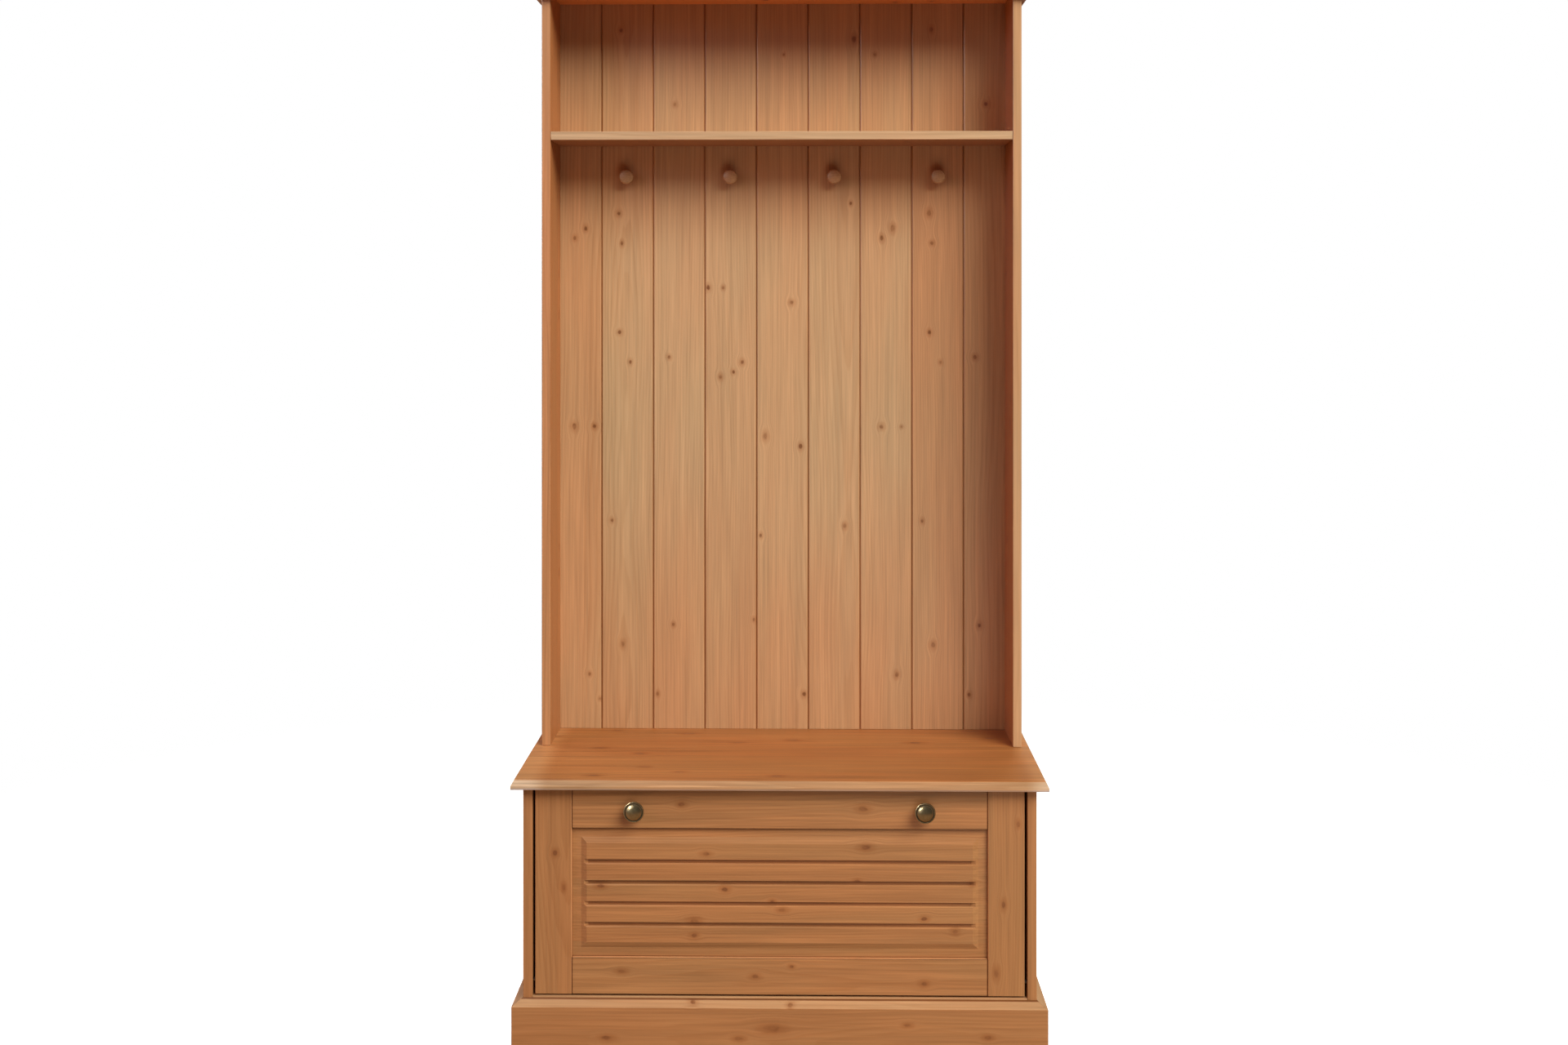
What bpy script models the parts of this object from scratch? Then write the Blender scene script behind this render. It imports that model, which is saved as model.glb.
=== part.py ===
"""Pine hall stand: a bench cabinet with a tip-out shoe flap, and a tongue-and-groove coat panel above it.

Metres, +Z up. The front faces -Y and the wall side faces +Y. The origin is on the floor, at the middle of the
stand's outer box.
"""

from math import cos, hypot, pi, radians, sin

import bmesh
import bpy
from mathutils import Matrix, Vector

# Clearances
JOINT_GAP = 0.0003
RUNNING_GAP = 0.0004
SWING_CLEARANCE = 0.001
CUT_OVERRUN = 0.004
MERGE_DISTANCE = 1e-6
FLAT_ANGLE = radians(0.5)

# Whole stand
WIDTH = 0.930
OVERALL_HEIGHT = 1.980
SIDE_THICKNESS = 0.017
ARRIS_RADIUS = 0.0015
ARRIS_SEGMENTS = 2

# Bench cabinet
BASE_DEPTH = 0.360
BENCH_HEIGHT = 0.490
BENCH_THICKNESS = 0.018
BENCH_OVERHANG = 0.020
BENCH_ROUNDING = 0.004
BENCH_HOUSING = 0.005
FLOOR_THICKNESS = 0.012
FLOOR_REVEAL = 0.0018
FLOOR_HOUSING = 0.006
FLOOR_HOUSING_STOP = 0.012
BACK_THICKNESS = 0.006
BACK_REBATE = 0.008

# Plinth
PLINTH_HEIGHT = 0.080
PLINTH_RISE = 0.0112
PLINTH_THICKNESS = 0.018

# Upper part
UPPER_DEPTH = 0.147
TOP_THICKNESS = 0.017
TOP_SUNK = 0.011
TOP_REBATE = 0.008
SHELF_THICKNESS = 0.017
HAT_SPACE = 0.2695

# Tongue-and-groove boards
BOARD_PITCH = 0.10425
BOARD_THICKNESS = 0.015
BOARD_REBATE = 0.009
BOARD_CHAMFER = 0.0025
TONGUE_LENGTH = 0.006
TONGUE_THICKNESS = 0.004

# Cornice section
CORNICE_HEIGHT = 0.038
CORNICE_SOFFIT = 0.0135
CORNICE_FILLET = 0.010
CORNICE_FLARE = 0.006
CORNICE_CHAMFER = 0.004

# Coat pegs
PEG_DROP = 0.063
PEG_REACH = 0.028
PEG_HEAD_RADIUS = 0.0145
PEG_HEAD_LENGTH = 0.010
PEG_HEAD_ROUNDING = 0.004
PEG_HEAD_TAPER = 0.005
PEG_NECK_RADIUS = 0.0080
PEG_FOOT_RADIUS = 0.0110
PEG_FOOT_FLARE = 0.008
PEG_TENON_RADIUS = 0.0060
PEG_TENON_COVER = 0.003

# Dowels
DOWEL_RADIUS = 0.004
DOWEL_REACH = 0.019
DOWEL_COVER = 0.006
DOWEL_INSET = 0.032

# Flap frame
FLAP_THICKNESS = 0.020
FLAP_SETBACK = 0.0015
FLAP_SIDE_GAP = 0.0047
FLAP_TOP_GAP = 0.005
STILE_WIDTH = 0.0666
TOP_RAIL_WIDTH = 0.070
BOTTOM_RAIL_WIDTH = 0.067
FRAME_GROOVE_WIDTH = 0.006
FRAME_GROOVE_DEPTH = 0.010

# Flap panel
PANEL_TONGUE = 0.008
PANEL_MARGIN = 0.027
PANEL_STEP_WIDTH = 0.0105
PANEL_STEP = 0.004
PANEL_SETBACK = 0.0015
SLAT_COUNT = 5
SLAT_HEADROOM = 0.017
SLAT_LIP_DROP = 0.0018
SLAT_GROOVE_DEPTH = 0.0048
SLAT_GROOVE_HEIGHT = 0.0075
SLAT_GROOVE_DRAFT = 0.0006
SLAT_GROOVE_RUNOUT = 0.0055

# Flap pivot and stop
PIVOT_RISE = 0.024
PIVOT_RADIUS = 0.004
PIVOT_ENGAGEMENT = 0.012
BUSH_WALL = 0.002
BUSH_LENGTH = 0.014
PIN_COVER = 0.006
FLAP_TRAVEL = radians(42)
STOP_RADIUS = 0.004
STOP_ANGLE = radians(70)
STOP_EDGE_COVER = 0.037
STOP_END_COVER = 0.001

# Shoe tray behind the flap
TRAY_RISE = 0.010
TRAY_REAR_ROOM = 0.058
BRACKET_THICKNESS = 0.012
BRACKET_INSET = 0.0035
BRACKET_HOUSING = 0.004
BRACKET_HEADROOM = 0.107
BRACKET_REAR_HEIGHT = 0.075
TRAY_BOARD = 0.009
TRAY_MARGIN = 0.008
TRAY_HOUSING = 0.004
DIVIDER_HEIGHT = 0.050
LIP_HEIGHT = 0.040

# Knobs and their screws
KNOB_INSET = 0.1808
KNOB_RADIUS = 0.0187
KNOB_REACH = 0.0265
KNOB_DOME_HEIGHT = 0.0065
KNOB_LEDGE = 0.0030
KNOB_RIM = 0.0040
KNOB_NECK_RADIUS = 0.0070
KNOB_BACK_TAPER = 0.0020
KNOB_FOOT_RADIUS = 0.0100
KNOB_FOOT_LENGTH = 0.0025
KNOB_FOOT_FLARE = 0.0025
SCREW_RADIUS = 0.002
SCREW_REACH = 0.009
SCREW_HEAD_RADIUS = 0.004
SCREW_HEAD_LENGTH = 0.0025

# Facets of round pieces
ROUND_SIDES = 24
ARC_STEPS = 6
SLOT_STEPS = 12

# Places that follow from the sizes
FRONT_REACH = max(BENCH_OVERHANG, KNOB_REACH - FLAP_SETBACK)
WALL_Y = (BASE_DEPTH + FRONT_REACH) / 2
BASE_FRONT_Y = WALL_Y - BASE_DEPTH
UPPER_FRONT_Y = WALL_Y - UPPER_DEPTH
BOARD_FRONT_Y = WALL_Y - BOARD_THICKNESS
OUTER_X = WIDTH / 2
INNER_X = OUTER_X - SIDE_THICKNESS
BENCH_UNDER_Z = BENCH_HEIGHT - BENCH_THICKNESS
UPPER_TOP_Z = OVERALL_HEIGHT - TOP_SUNK
SHELF_TOP_Z = UPPER_TOP_Z - TOP_THICKNESS - HAT_SPACE
SHELF_UNDER_Z = SHELF_TOP_Z - SHELF_THICKNESS
PEG_Z = SHELF_UNDER_Z - PEG_DROP
FLOOR_TOP_Z = PLINTH_HEIGHT + PLINTH_RISE + FLOOR_REVEAL
FLOOR_UNDER_Z = FLOOR_TOP_Z - FLOOR_THICKNESS
BACK_FRONT_Y = WALL_Y - BACK_THICKNESS
DOWEL_YS = (UPPER_FRONT_Y + DOWEL_INSET, BOARD_FRONT_Y - DOWEL_INSET)

# Places on the flap; its bottom edge clears the cabinet floor as its corner swings down
FLAP_FRONT_Y = BASE_FRONT_Y + FLAP_SETBACK
FLAP_MIDDLE_Y = FLAP_FRONT_Y + FLAP_THICKNESS / 2
FLAP_BACK_Y = FLAP_FRONT_Y + FLAP_THICKNESS
SWING_DROP = hypot(FLAP_THICKNESS / 2, PIVOT_RISE) - PIVOT_RISE
FLAP_BOTTOM_Z = FLOOR_TOP_Z + SWING_DROP + SWING_CLEARANCE
FLAP_TOP_Z = BENCH_UNDER_Z - FLAP_TOP_GAP
FLAP_X = INNER_X - FLAP_SIDE_GAP
OPENING_X = FLAP_X - STILE_WIDTH
OPENING_BOTTOM_Z = FLAP_BOTTOM_Z + BOTTOM_RAIL_WIDTH
OPENING_TOP_Z = FLAP_TOP_Z - TOP_RAIL_WIDTH
PIVOT = Vector((0, FLAP_MIDDLE_Y, FLAP_BOTTOM_Z + PIVOT_RISE))
KNOB_X = FLAP_X - KNOB_INSET
KNOB_Z = FLAP_TOP_Z - TOP_RAIL_WIDTH / 2

# Places on the shoe tray
BRACKET_OUTER_X = FLAP_X - BRACKET_INSET
BRACKET_INNER_X = BRACKET_OUTER_X - BRACKET_THICKNESS
BRACKET_FRONT_Y = FLAP_BACK_Y - BRACKET_HOUSING + JOINT_GAP
BRACKET_REAR_Y = BACK_FRONT_Y - TRAY_REAR_ROOM
BRACKET_BOTTOM_Z = PIVOT.z + TRAY_RISE
BRACKET_TOP_Z = FLAP_TOP_Z - BRACKET_HEADROOM
BRACKET_REAR_TOP_Z = BRACKET_BOTTOM_Z + BRACKET_REAR_HEIGHT
BRACKET_CREST = Vector((BRACKET_FRONT_Y - PIVOT.y, BRACKET_TOP_Z - PIVOT.z))
BRACKET_SLOPE = Vector((BRACKET_REAR_Y - BRACKET_FRONT_Y, BRACKET_REAR_TOP_Z - BRACKET_TOP_Z))
STOP_ORBIT = abs(BRACKET_CREST.cross(BRACKET_SLOPE)) / BRACKET_SLOPE.length - STOP_EDGE_COVER
TRAY_FLOOR_Z = BRACKET_BOTTOM_Z + TRAY_MARGIN
TRAY_TOP_Z = TRAY_FLOOR_Z + TRAY_BOARD

SIDES = {"left": -1, "right": 1}


def clear_scene():
    """Remove what the file opened with."""
    for item in list(bpy.data.objects):
        bpy.data.objects.remove(item, do_unlink=True)


def add_collection(name):
    """Make a collection in the scene."""
    made = bpy.data.collections.new(name)
    bpy.context.scene.collection.children.link(made)
    return made


clear_scene()
PARTS = add_collection("hall_stand")
CUTTERS = add_collection("hall_stand_cutters")


def add_frame(name, place):
    """Make an empty that carries pieces."""
    frame = bpy.data.objects.new(name, None)
    frame.location = place
    PARTS.objects.link(frame)
    return frame


def add_finish(name, colour, roughness, metallic=0.0):
    """Make a Principled finish; the colour is linear."""
    finish = bpy.data.materials.new(name)
    finish.use_nodes = True
    shader = finish.node_tree.nodes["Principled BSDF"]
    shader.inputs["Base Color"].default_value = (*colour, 1.0)
    shader.inputs["Roughness"].default_value = roughness
    shader.inputs["Metallic"].default_value = metallic
    return finish


STAND = add_frame("stand_frame", (0, 0, 0))
FLAP = add_frame("flap_pivot_frame", PIVOT)

STAINED_PINE = add_finish("stained_pine", (0.43, 0.18, 0.06), 0.45)
INNER_PINE = add_finish("inner_pine", (0.50, 0.27, 0.12), 0.60)
BEECH = add_finish("beech_dowel", (0.55, 0.36, 0.20), 0.60)
ANTIQUE_BRASS = add_finish("antique_brass", (0.17, 0.11, 0.05), 0.40, 1.0)
ZINC_STEEL = add_finish("zinc_steel", (0.55, 0.55, 0.56), 0.35, 1.0)
NYLON = add_finish("nylon_bush", (0.75, 0.72, 0.65), 0.50)


# Making meshes

def new_mesh(name, shape):
    """Turn a bmesh into a mesh and free it."""
    mesh = bpy.data.meshes.new(name)
    shape.to_mesh(mesh)
    shape.free()
    return mesh


def box_shape(size):
    """A box of the given size, centred on its own origin."""
    shape = bmesh.new()
    bmesh.ops.create_cube(shape, size=1.0)
    bmesh.ops.scale(shape, vec=size, verts=shape.verts)
    return shape


def rod_mesh(name, radius, length):
    """A round rod along Z, centred on its own origin."""
    shape = bmesh.new()
    bmesh.ops.create_cone(
        shape, cap_ends=True, segments=ROUND_SIDES, radius1=radius, radius2=radius, depth=length
    )
    return new_mesh(name, shape)


def outline_shape(name, outlines, depth):
    """Flat outlines in XY, raised along Z by half the depth each way; a second outline is a hole."""
    curve = bpy.data.curves.new(name, "CURVE")
    curve.dimensions = "2D"
    curve.fill_mode = "BOTH"
    curve.extrude = depth / 2
    for outline in outlines:
        spline = curve.splines.new("POLY")
        spline.points.add(len(outline) - 1)
        for point, (x, y) in zip(spline.points, outline):
            point.co = (x, y, 0, 1)
        spline.use_cyclic_u = True
    holder = bpy.data.objects.new(name, curve)
    PARTS.objects.link(holder)
    depsgraph = bpy.context.evaluated_depsgraph_get()
    raised = bpy.data.meshes.new_from_object(holder.evaluated_get(depsgraph))
    shape = bmesh.new()
    shape.from_mesh(raised)
    bmesh.ops.remove_doubles(shape, verts=shape.verts, dist=MERGE_DISTANCE)
    bpy.data.objects.remove(holder)
    bpy.data.curves.remove(curve)
    bpy.data.meshes.remove(raised)
    return shape


def merge_flat_faces(shape):
    """Join coplanar triangles into whole faces."""
    bmesh.ops.dissolve_limit(shape, angle_limit=FLAT_ANGLE, verts=shape.verts, edges=shape.edges)


def on_plane(edge, axis, place):
    """Whether both ends of an edge lie on the plane where the axis has this value."""
    return all(abs(corner.co[axis] - place) < MERGE_DISTANCE for corner in edge.verts)


def soften_edges(shape, edges, radius, segments=ARRIS_SEGMENTS):
    """Round the chosen edges."""
    bmesh.ops.bevel(
        shape, geom=edges, offset=radius, segments=segments, profile=0.5, affect="EDGES", clamp_overlap=True
    )


def soften_front(shape):
    """Round the arrises of a piece's front face."""
    front = min(corner.co.y for corner in shape.verts)
    soften_edges(shape, [edge for edge in shape.edges if on_plane(edge, 1, front)], ARRIS_RADIUS)


# Making pieces and cutters

def add_piece(name, mesh, finish, carrier, place, turn=(0, 0, 0)):
    """Put a mesh in the stand as a named piece; the place is in world axes."""
    mesh.materials.append(finish)
    piece = bpy.data.objects.new(name, mesh)
    PARTS.objects.link(piece)
    piece.parent = carrier
    piece.location = Vector(place) - carrier.location
    piece.rotation_euler = turn
    return piece


def add_board(name, low, high, finish, carrier, soft_front=False):
    """A straight board between two corners."""
    low, high = Vector(low), Vector(high)
    shape = box_shape(high - low)
    if soft_front:
        soften_front(shape)
    return add_piece(name, new_mesh(name, shape), finish, carrier, (low + high) / 2)


def add_upright(name, outline, bottom, top, finish, carrier, soft_front=False):
    """A piece with a plan outline, between two heights."""
    shape = outline_shape(name, [outline], top - bottom)
    merge_flat_faces(shape)
    if soft_front:
        soften_front(shape)
    bmesh.ops.triangulate(shape, faces=shape.faces)
    plan_origin = Vector((*carrier.location.xy, 0))
    bmesh.ops.translate(shape, vec=-plan_origin, verts=shape.verts)
    place = plan_origin + Vector((0, 0, (bottom + top) / 2))
    return add_piece(name, new_mesh(name, shape), finish, carrier, place)


def add_cutter(name, mesh, place, turn=(0, 0, 0)):
    """A shape that is only used to cut."""
    cutter = bpy.data.objects.new(name, mesh)
    CUTTERS.objects.link(cutter)
    cutter.location = place
    cutter.rotation_euler = turn
    cutter.hide_render = True
    cutter.display_type = "WIRE"
    return cutter


def box_cutter(name, low, high):
    """A box to cut with, between two corners."""
    low, high = Vector(low), Vector(high)
    return add_cutter(name, new_mesh(name, box_shape(high - low)), (low + high) / 2)


ALONG_X = (0, pi / 2, 0)
ALONG_Z = (0, 0, 0)
OUT_OF_FRONT = (pi / 2, 0, 0)


def rod_cutter(name, radius, length, place, turn):
    """A round hole to cut, centred on its place."""
    return add_cutter(name, rod_mesh(name, radius, length), place, turn)


def cut(piece, *cutters):
    """Cut each cutter out of a piece."""
    for cutter in cutters:
        modifier = piece.modifiers.new(cutter.name, "BOOLEAN")
        modifier.object = cutter
        modifier.operation = "DIFFERENCE"
        modifier.solver = "EXACT"


def add_turned(name, profile, finish, carrier, place, turn, ring=False):
    """A piece turned round its own Z; the profile is (radius, height), from the top down its outer side."""
    count = len(profile)
    edges = [(step, step + 1) for step in range(count - 1)]
    if ring:
        edges.append((count - 1, 0))
    mesh = bpy.data.meshes.new(name)
    mesh.from_pydata([(radius, 0, height) for radius, height in profile], edges, [])
    piece = add_piece(name, mesh, finish, carrier, place, turn)
    turning = piece.modifiers.new("turning", "SCREW")
    turning.axis = "Z"
    turning.steps = ROUND_SIDES
    turning.render_steps = ROUND_SIDES
    turning.use_merge_vertices = True
    turning.merge_threshold = MERGE_DISTANCE
    turning.use_smooth_shade = True
    return piece


def add_rod(name, radius, length, finish, carrier, place, turn):
    """A plain round pin or dowel, centred on its place."""
    return add_piece(name, rod_mesh(name, radius, length), finish, carrier, place, turn)


def arc(centre, radii, start, end, steps=ARC_STEPS):
    """Points along an arc of an ellipse, both ends included."""
    turns = [start + (end - start) * step / steps for step in range(steps + 1)]
    return [(centre[0] + radii[0] * cos(turn), centre[1] + radii[1] * sin(turn)) for turn in turns]


def mirrored(outline, side):
    """A plan outline on the given side of the stand."""
    if side > 0:
        return outline
    return [(-x, y) for x, y in reversed(outline)]


def add_moulding(name, section, outward, foot, length, mitres, finish):
    """Run a section (outward, up) along a face, with 45 degree mitres at the marked ends.

    The run goes along outward x up, is centred on its foot, and leans out at a mitred end.
    """
    up = Vector((0, 0, 1))
    along = outward.cross(up)
    shape = outline_shape(name, [section], length)
    merge_flat_faces(shape)
    for corner in shape.verts:
        if corner.co.z > 0 and mitres[1]:
            corner.co.z += corner.co.x
        if corner.co.z < 0 and mitres[0]:
            corner.co.z -= corner.co.x
    turn = Matrix((outward, up, along)).transposed().to_4x4()
    bmesh.ops.transform(shape, matrix=turn, verts=shape.verts)
    return add_piece(name, new_mesh(name, shape), finish, STAND, foot)


def add_mitred_set(name, section, base, front_y):
    """Three mouldings round the front and the two sides of the stand, planted on its faces."""
    half_length = OUTER_X + JOINT_GAP / 2
    add_moulding(
        f"{name}_front", section, Vector((0, -1, 0)), (0, front_y - JOINT_GAP, base),
        2 * half_length, (True, True), STAINED_PINE,
    )
    start_y = front_y - JOINT_GAP / 2
    for word, side in SIDES.items():
        mitres = (False, True) if side > 0 else (True, False)
        foot = (side * (OUTER_X + JOINT_GAP), (start_y + WALL_Y) / 2, base)
        add_moulding(
            f"{name}_{word}", section, Vector((side, 0, 0)), foot, WALL_Y - start_y, mitres, STAINED_PINE
        )


def grown(low, high, by=JOINT_GAP):
    """A box with a clearance all round."""
    return [value - by for value in low], [value + by for value in high]


# Bench cabinet

def make_base_sides():
    """The two side boards of the cabinet, rebated for the back panel."""
    rebate_x = INNER_X + BACK_REBATE
    rebate_y = BACK_FRONT_Y - JOINT_GAP
    outline = [
        (INNER_X, BASE_FRONT_Y), (OUTER_X, BASE_FRONT_Y), (OUTER_X, WALL_Y),
        (rebate_x, WALL_Y), (rebate_x, rebate_y), (INNER_X, rebate_y),
    ]
    top = BENCH_UNDER_Z + BENCH_HOUSING - JOINT_GAP
    return {
        word: add_upright(
            f"base_side_{word}", mirrored(outline, side), 0, top, STAINED_PINE, STAND, soft_front=True
        )
        for word, side in SIDES.items()
    }


def make_bench_top():
    """The seat board, rounded on its front and ends and housed over the base sides."""
    low = Vector((-OUTER_X - BENCH_OVERHANG, BASE_FRONT_Y - BENCH_OVERHANG, BENCH_UNDER_Z))
    high = Vector((OUTER_X + BENCH_OVERHANG, WALL_Y, BENCH_HEIGHT))
    shape = box_shape(high - low)
    rear = max(corner.co.y for corner in shape.verts)
    level = max(corner.co.z for corner in shape.verts)
    rims = [
        edge for edge in shape.edges
        if (on_plane(edge, 2, level) or on_plane(edge, 2, -level)) and not on_plane(edge, 1, rear)
    ]
    soften_edges(shape, rims, BENCH_ROUNDING)
    bench = add_piece("bench_top", new_mesh("bench_top", shape), STAINED_PINE, STAND, (low + high) / 2)
    for word, side in SIDES.items():
        inner, outer = sorted((side * INNER_X, side * OUTER_X))
        housing = box_cutter(
            f"cut_bench_housing_{word}",
            (inner - JOINT_GAP, BASE_FRONT_Y - JOINT_GAP, BENCH_UNDER_Z - CUT_OVERRUN),
            (outer + JOINT_GAP, WALL_Y + CUT_OVERRUN, BENCH_UNDER_Z + BENCH_HOUSING),
        )
        cut(bench, housing)
    return bench


def make_base_floor(sides):
    """The cabinet floor: flush between the sides at the front, housed in them behind that."""
    front_x = INNER_X - JOINT_GAP
    housed_x = INNER_X + FLOOR_HOUSING - JOINT_GAP
    ear_y = BASE_FRONT_Y + FLOOR_HOUSING_STOP
    rear_y = BACK_FRONT_Y - JOINT_GAP
    half = [(front_x, BASE_FRONT_Y), (front_x, ear_y), (housed_x, ear_y), (housed_x, rear_y)]
    outline = half + [(-x, y) for x, y in reversed(half)]
    add_upright("base_floor", outline, FLOOR_UNDER_Z, FLOOR_TOP_Z, INNER_PINE, STAND)
    low, high = grown((-housed_x, ear_y, FLOOR_UNDER_Z), (housed_x, rear_y, FLOOR_TOP_Z))
    housing = box_cutter("cut_floor_housing", low, high)
    for side in sides.values():
        cut(side, housing)


def make_base_back():
    """The thin panel that closes the cabinet's back."""
    edge_x = INNER_X + BACK_REBATE - JOINT_GAP
    add_board(
        "base_back", (-edge_x, BACK_FRONT_Y, FLOOR_UNDER_Z), (edge_x, WALL_Y, BENCH_UNDER_Z - JOINT_GAP),
        INNER_PINE, STAND,
    )


def make_plinth():
    """Three plinth boards whose top slopes down to the outside."""
    section = [
        (0, 0), (PLINTH_THICKNESS, 0), (PLINTH_THICKNESS, PLINTH_HEIGHT), (0, PLINTH_HEIGHT + PLINTH_RISE)
    ]
    add_mitred_set("plinth", section, 0, BASE_FRONT_Y)


# Upper part

def make_upper_sides():
    """The two tall sides, rebated at the back for the boards."""
    rebate_x = INNER_X + BOARD_REBATE
    rebate_y = BOARD_FRONT_Y - JOINT_GAP
    outline = [
        (INNER_X, UPPER_FRONT_Y), (OUTER_X, UPPER_FRONT_Y), (OUTER_X, WALL_Y),
        (rebate_x, WALL_Y), (rebate_x, rebate_y), (INNER_X, rebate_y),
    ]
    bottom = BENCH_HEIGHT + JOINT_GAP
    return {
        word: add_upright(
            f"upper_side_{word}", mirrored(outline, side), bottom, UPPER_TOP_Z, STAINED_PINE, STAND,
            soft_front=True,
        )
        for word, side in SIDES.items()
    }


def make_top_panel(sides):
    """The panel that closes the top, in rebates of the sides."""
    edge_x = INNER_X + TOP_REBATE - JOINT_GAP
    low = (-edge_x, UPPER_FRONT_Y, UPPER_TOP_Z - TOP_THICKNESS)
    high = (edge_x, BOARD_FRONT_Y - JOINT_GAP, UPPER_TOP_Z)
    add_board("top_panel", low, high, STAINED_PINE, STAND)
    cut_low, cut_high = grown(low, high)
    rebate = box_cutter(
        "cut_top_rebate",
        (cut_low[0], UPPER_FRONT_Y - CUT_OVERRUN, cut_low[2]),
        (cut_high[0], WALL_Y + CUT_OVERRUN, cut_high[2] + CUT_OVERRUN),
    )
    for side in sides.values():
        cut(side, rebate)


def make_hat_shelf(sides):
    """The hat shelf between the sides, on two dowels at each end."""
    edge_x = INNER_X - JOINT_GAP
    low = (-edge_x, UPPER_FRONT_Y, SHELF_UNDER_Z)
    high = (edge_x, BOARD_FRONT_Y - JOINT_GAP, SHELF_TOP_Z)
    shelf = add_board("hat_shelf", low, high, STAINED_PINE, STAND, soft_front=True)
    in_side = SIDE_THICKNESS - DOWEL_COVER
    length = in_side + DOWEL_REACH
    level = SHELF_TOP_Z - SHELF_THICKNESS / 2
    for word, side in SIDES.items():
        for number, y in enumerate(DOWEL_YS, 1):
            place = (side * (INNER_X + in_side - length / 2), y, level)
            add_rod(f"shelf_dowel_{word}_{number}", DOWEL_RADIUS, length, BEECH, STAND, place, ALONG_X)
            hole = rod_cutter(
                f"cut_shelf_dowel_{word}_{number}", DOWEL_RADIUS + JOINT_GAP, length + 2 * JOINT_GAP,
                place, ALONG_X,
            )
            cut(shelf, hole)
            cut(sides[word], hole)


def make_foot_dowels(sides, bench):
    """Dowels that stand the upper sides on the bench."""
    in_bench = BENCH_THICKNESS - DOWEL_COVER
    length = in_bench + DOWEL_REACH
    for word, side in SIDES.items():
        for number, y in enumerate(DOWEL_YS, 1):
            place = (side * (INNER_X + OUTER_X) / 2, y, BENCH_HEIGHT - in_bench + length / 2)
            add_rod(f"foot_dowel_{word}_{number}", DOWEL_RADIUS, length, BEECH, STAND, place, ALONG_Z)
            hole = rod_cutter(
                f"cut_foot_dowel_{word}_{number}", DOWEL_RADIUS + JOINT_GAP, length + 2 * JOINT_GAP,
                place, ALONG_Z,
            )
            cut(bench, hole)
            cut(sides[word], hole)


def board_edges():
    """The x of every board edge: whole boards about the middle, and what is left over at the two ends."""
    end_x = INNER_X + BOARD_REBATE - JOINT_GAP
    each_side = max(1, round((end_x - BOARD_PITCH / 2) / BOARD_PITCH))
    seams = [BOARD_PITCH * (number - each_side + 0.5) for number in range(2 * each_side)]
    return [-end_x, *seams, end_x]


def board_outline(left, right, grooved, tongued):
    """Plan section of one board, with a groove on its left edge and a tongue on its right."""
    middle = (BOARD_FRONT_Y + WALL_Y) / 2
    tongue = TONGUE_THICKNESS / 2
    groove = tongue + JOINT_GAP
    shoulder = JOINT_GAP / 2
    outline = []
    if grooved:
        left += shoulder
        outline += [
            (left, WALL_Y), (left, middle + groove), (left + TONGUE_LENGTH, middle + groove),
            (left + TONGUE_LENGTH, middle - groove), (left, middle - groove),
            (left, BOARD_FRONT_Y + BOARD_CHAMFER), (left + BOARD_CHAMFER, BOARD_FRONT_Y),
        ]
    else:
        outline += [(left, WALL_Y), (left, BOARD_FRONT_Y)]
    if tongued:
        right -= shoulder
        outline += [
            (right - BOARD_CHAMFER, BOARD_FRONT_Y), (right, BOARD_FRONT_Y + BOARD_CHAMFER),
            (right, middle - tongue), (right + TONGUE_LENGTH, middle - tongue),
            (right + TONGUE_LENGTH, middle + tongue), (right, middle + tongue), (right, WALL_Y),
        ]
    else:
        outline += [(right, BOARD_FRONT_Y), (right, WALL_Y)]
    return outline


def peg_profile(tenon_length):
    """Section of a turned peg: domed head, waisted neck, foot and tenon."""
    head_base = PEG_REACH - PEG_HEAD_LENGTH
    crown = arc(
        (PEG_HEAD_RADIUS - PEG_HEAD_ROUNDING, PEG_REACH - PEG_HEAD_ROUNDING),
        (PEG_HEAD_ROUNDING, PEG_HEAD_ROUNDING), pi / 2, 0,
    )
    return [
        (0, PEG_REACH), *crown, (PEG_HEAD_RADIUS, head_base),
        (PEG_NECK_RADIUS, head_base - PEG_HEAD_TAPER), (PEG_NECK_RADIUS, PEG_FOOT_FLARE),
        (PEG_FOOT_RADIUS, JOINT_GAP), (PEG_TENON_RADIUS, JOINT_GAP),
        (PEG_TENON_RADIUS, -tenon_length), (0, -tenon_length),
    ]


def make_back_boards():
    """The boards of the coat panel, with a peg tenoned into every second one."""
    edges = board_edges()
    last = len(edges) - 2
    tenon_length = BOARD_THICKNESS - PEG_TENON_COVER
    profile = peg_profile(tenon_length)
    for number, (left, right) in enumerate(zip(edges, edges[1:])):
        outline = board_outline(left, right, grooved=number > 0, tongued=number < last)
        board = add_upright(
            f"back_board_{number + 1}", outline, BENCH_HEIGHT + JOINT_GAP, UPPER_TOP_Z, STAINED_PINE, STAND
        )
        if number % 2 == 0:
            continue
        place = ((left + right) / 2, BOARD_FRONT_Y, PEG_Z)
        add_turned(f"coat_peg_{number // 2 + 1}", profile, STAINED_PINE, STAND, place, OUT_OF_FRONT)
        hole_depth = tenon_length + JOINT_GAP
        hole_place = (place[0], BOARD_FRONT_Y + (hole_depth - CUT_OVERRUN) / 2, PEG_Z)
        hole = rod_cutter(
            f"cut_peg_hole_{number // 2 + 1}", PEG_TENON_RADIUS + JOINT_GAP, hole_depth + CUT_OVERRUN,
            hole_place, OUT_OF_FRONT,
        )
        cut(board, hole)


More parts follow.
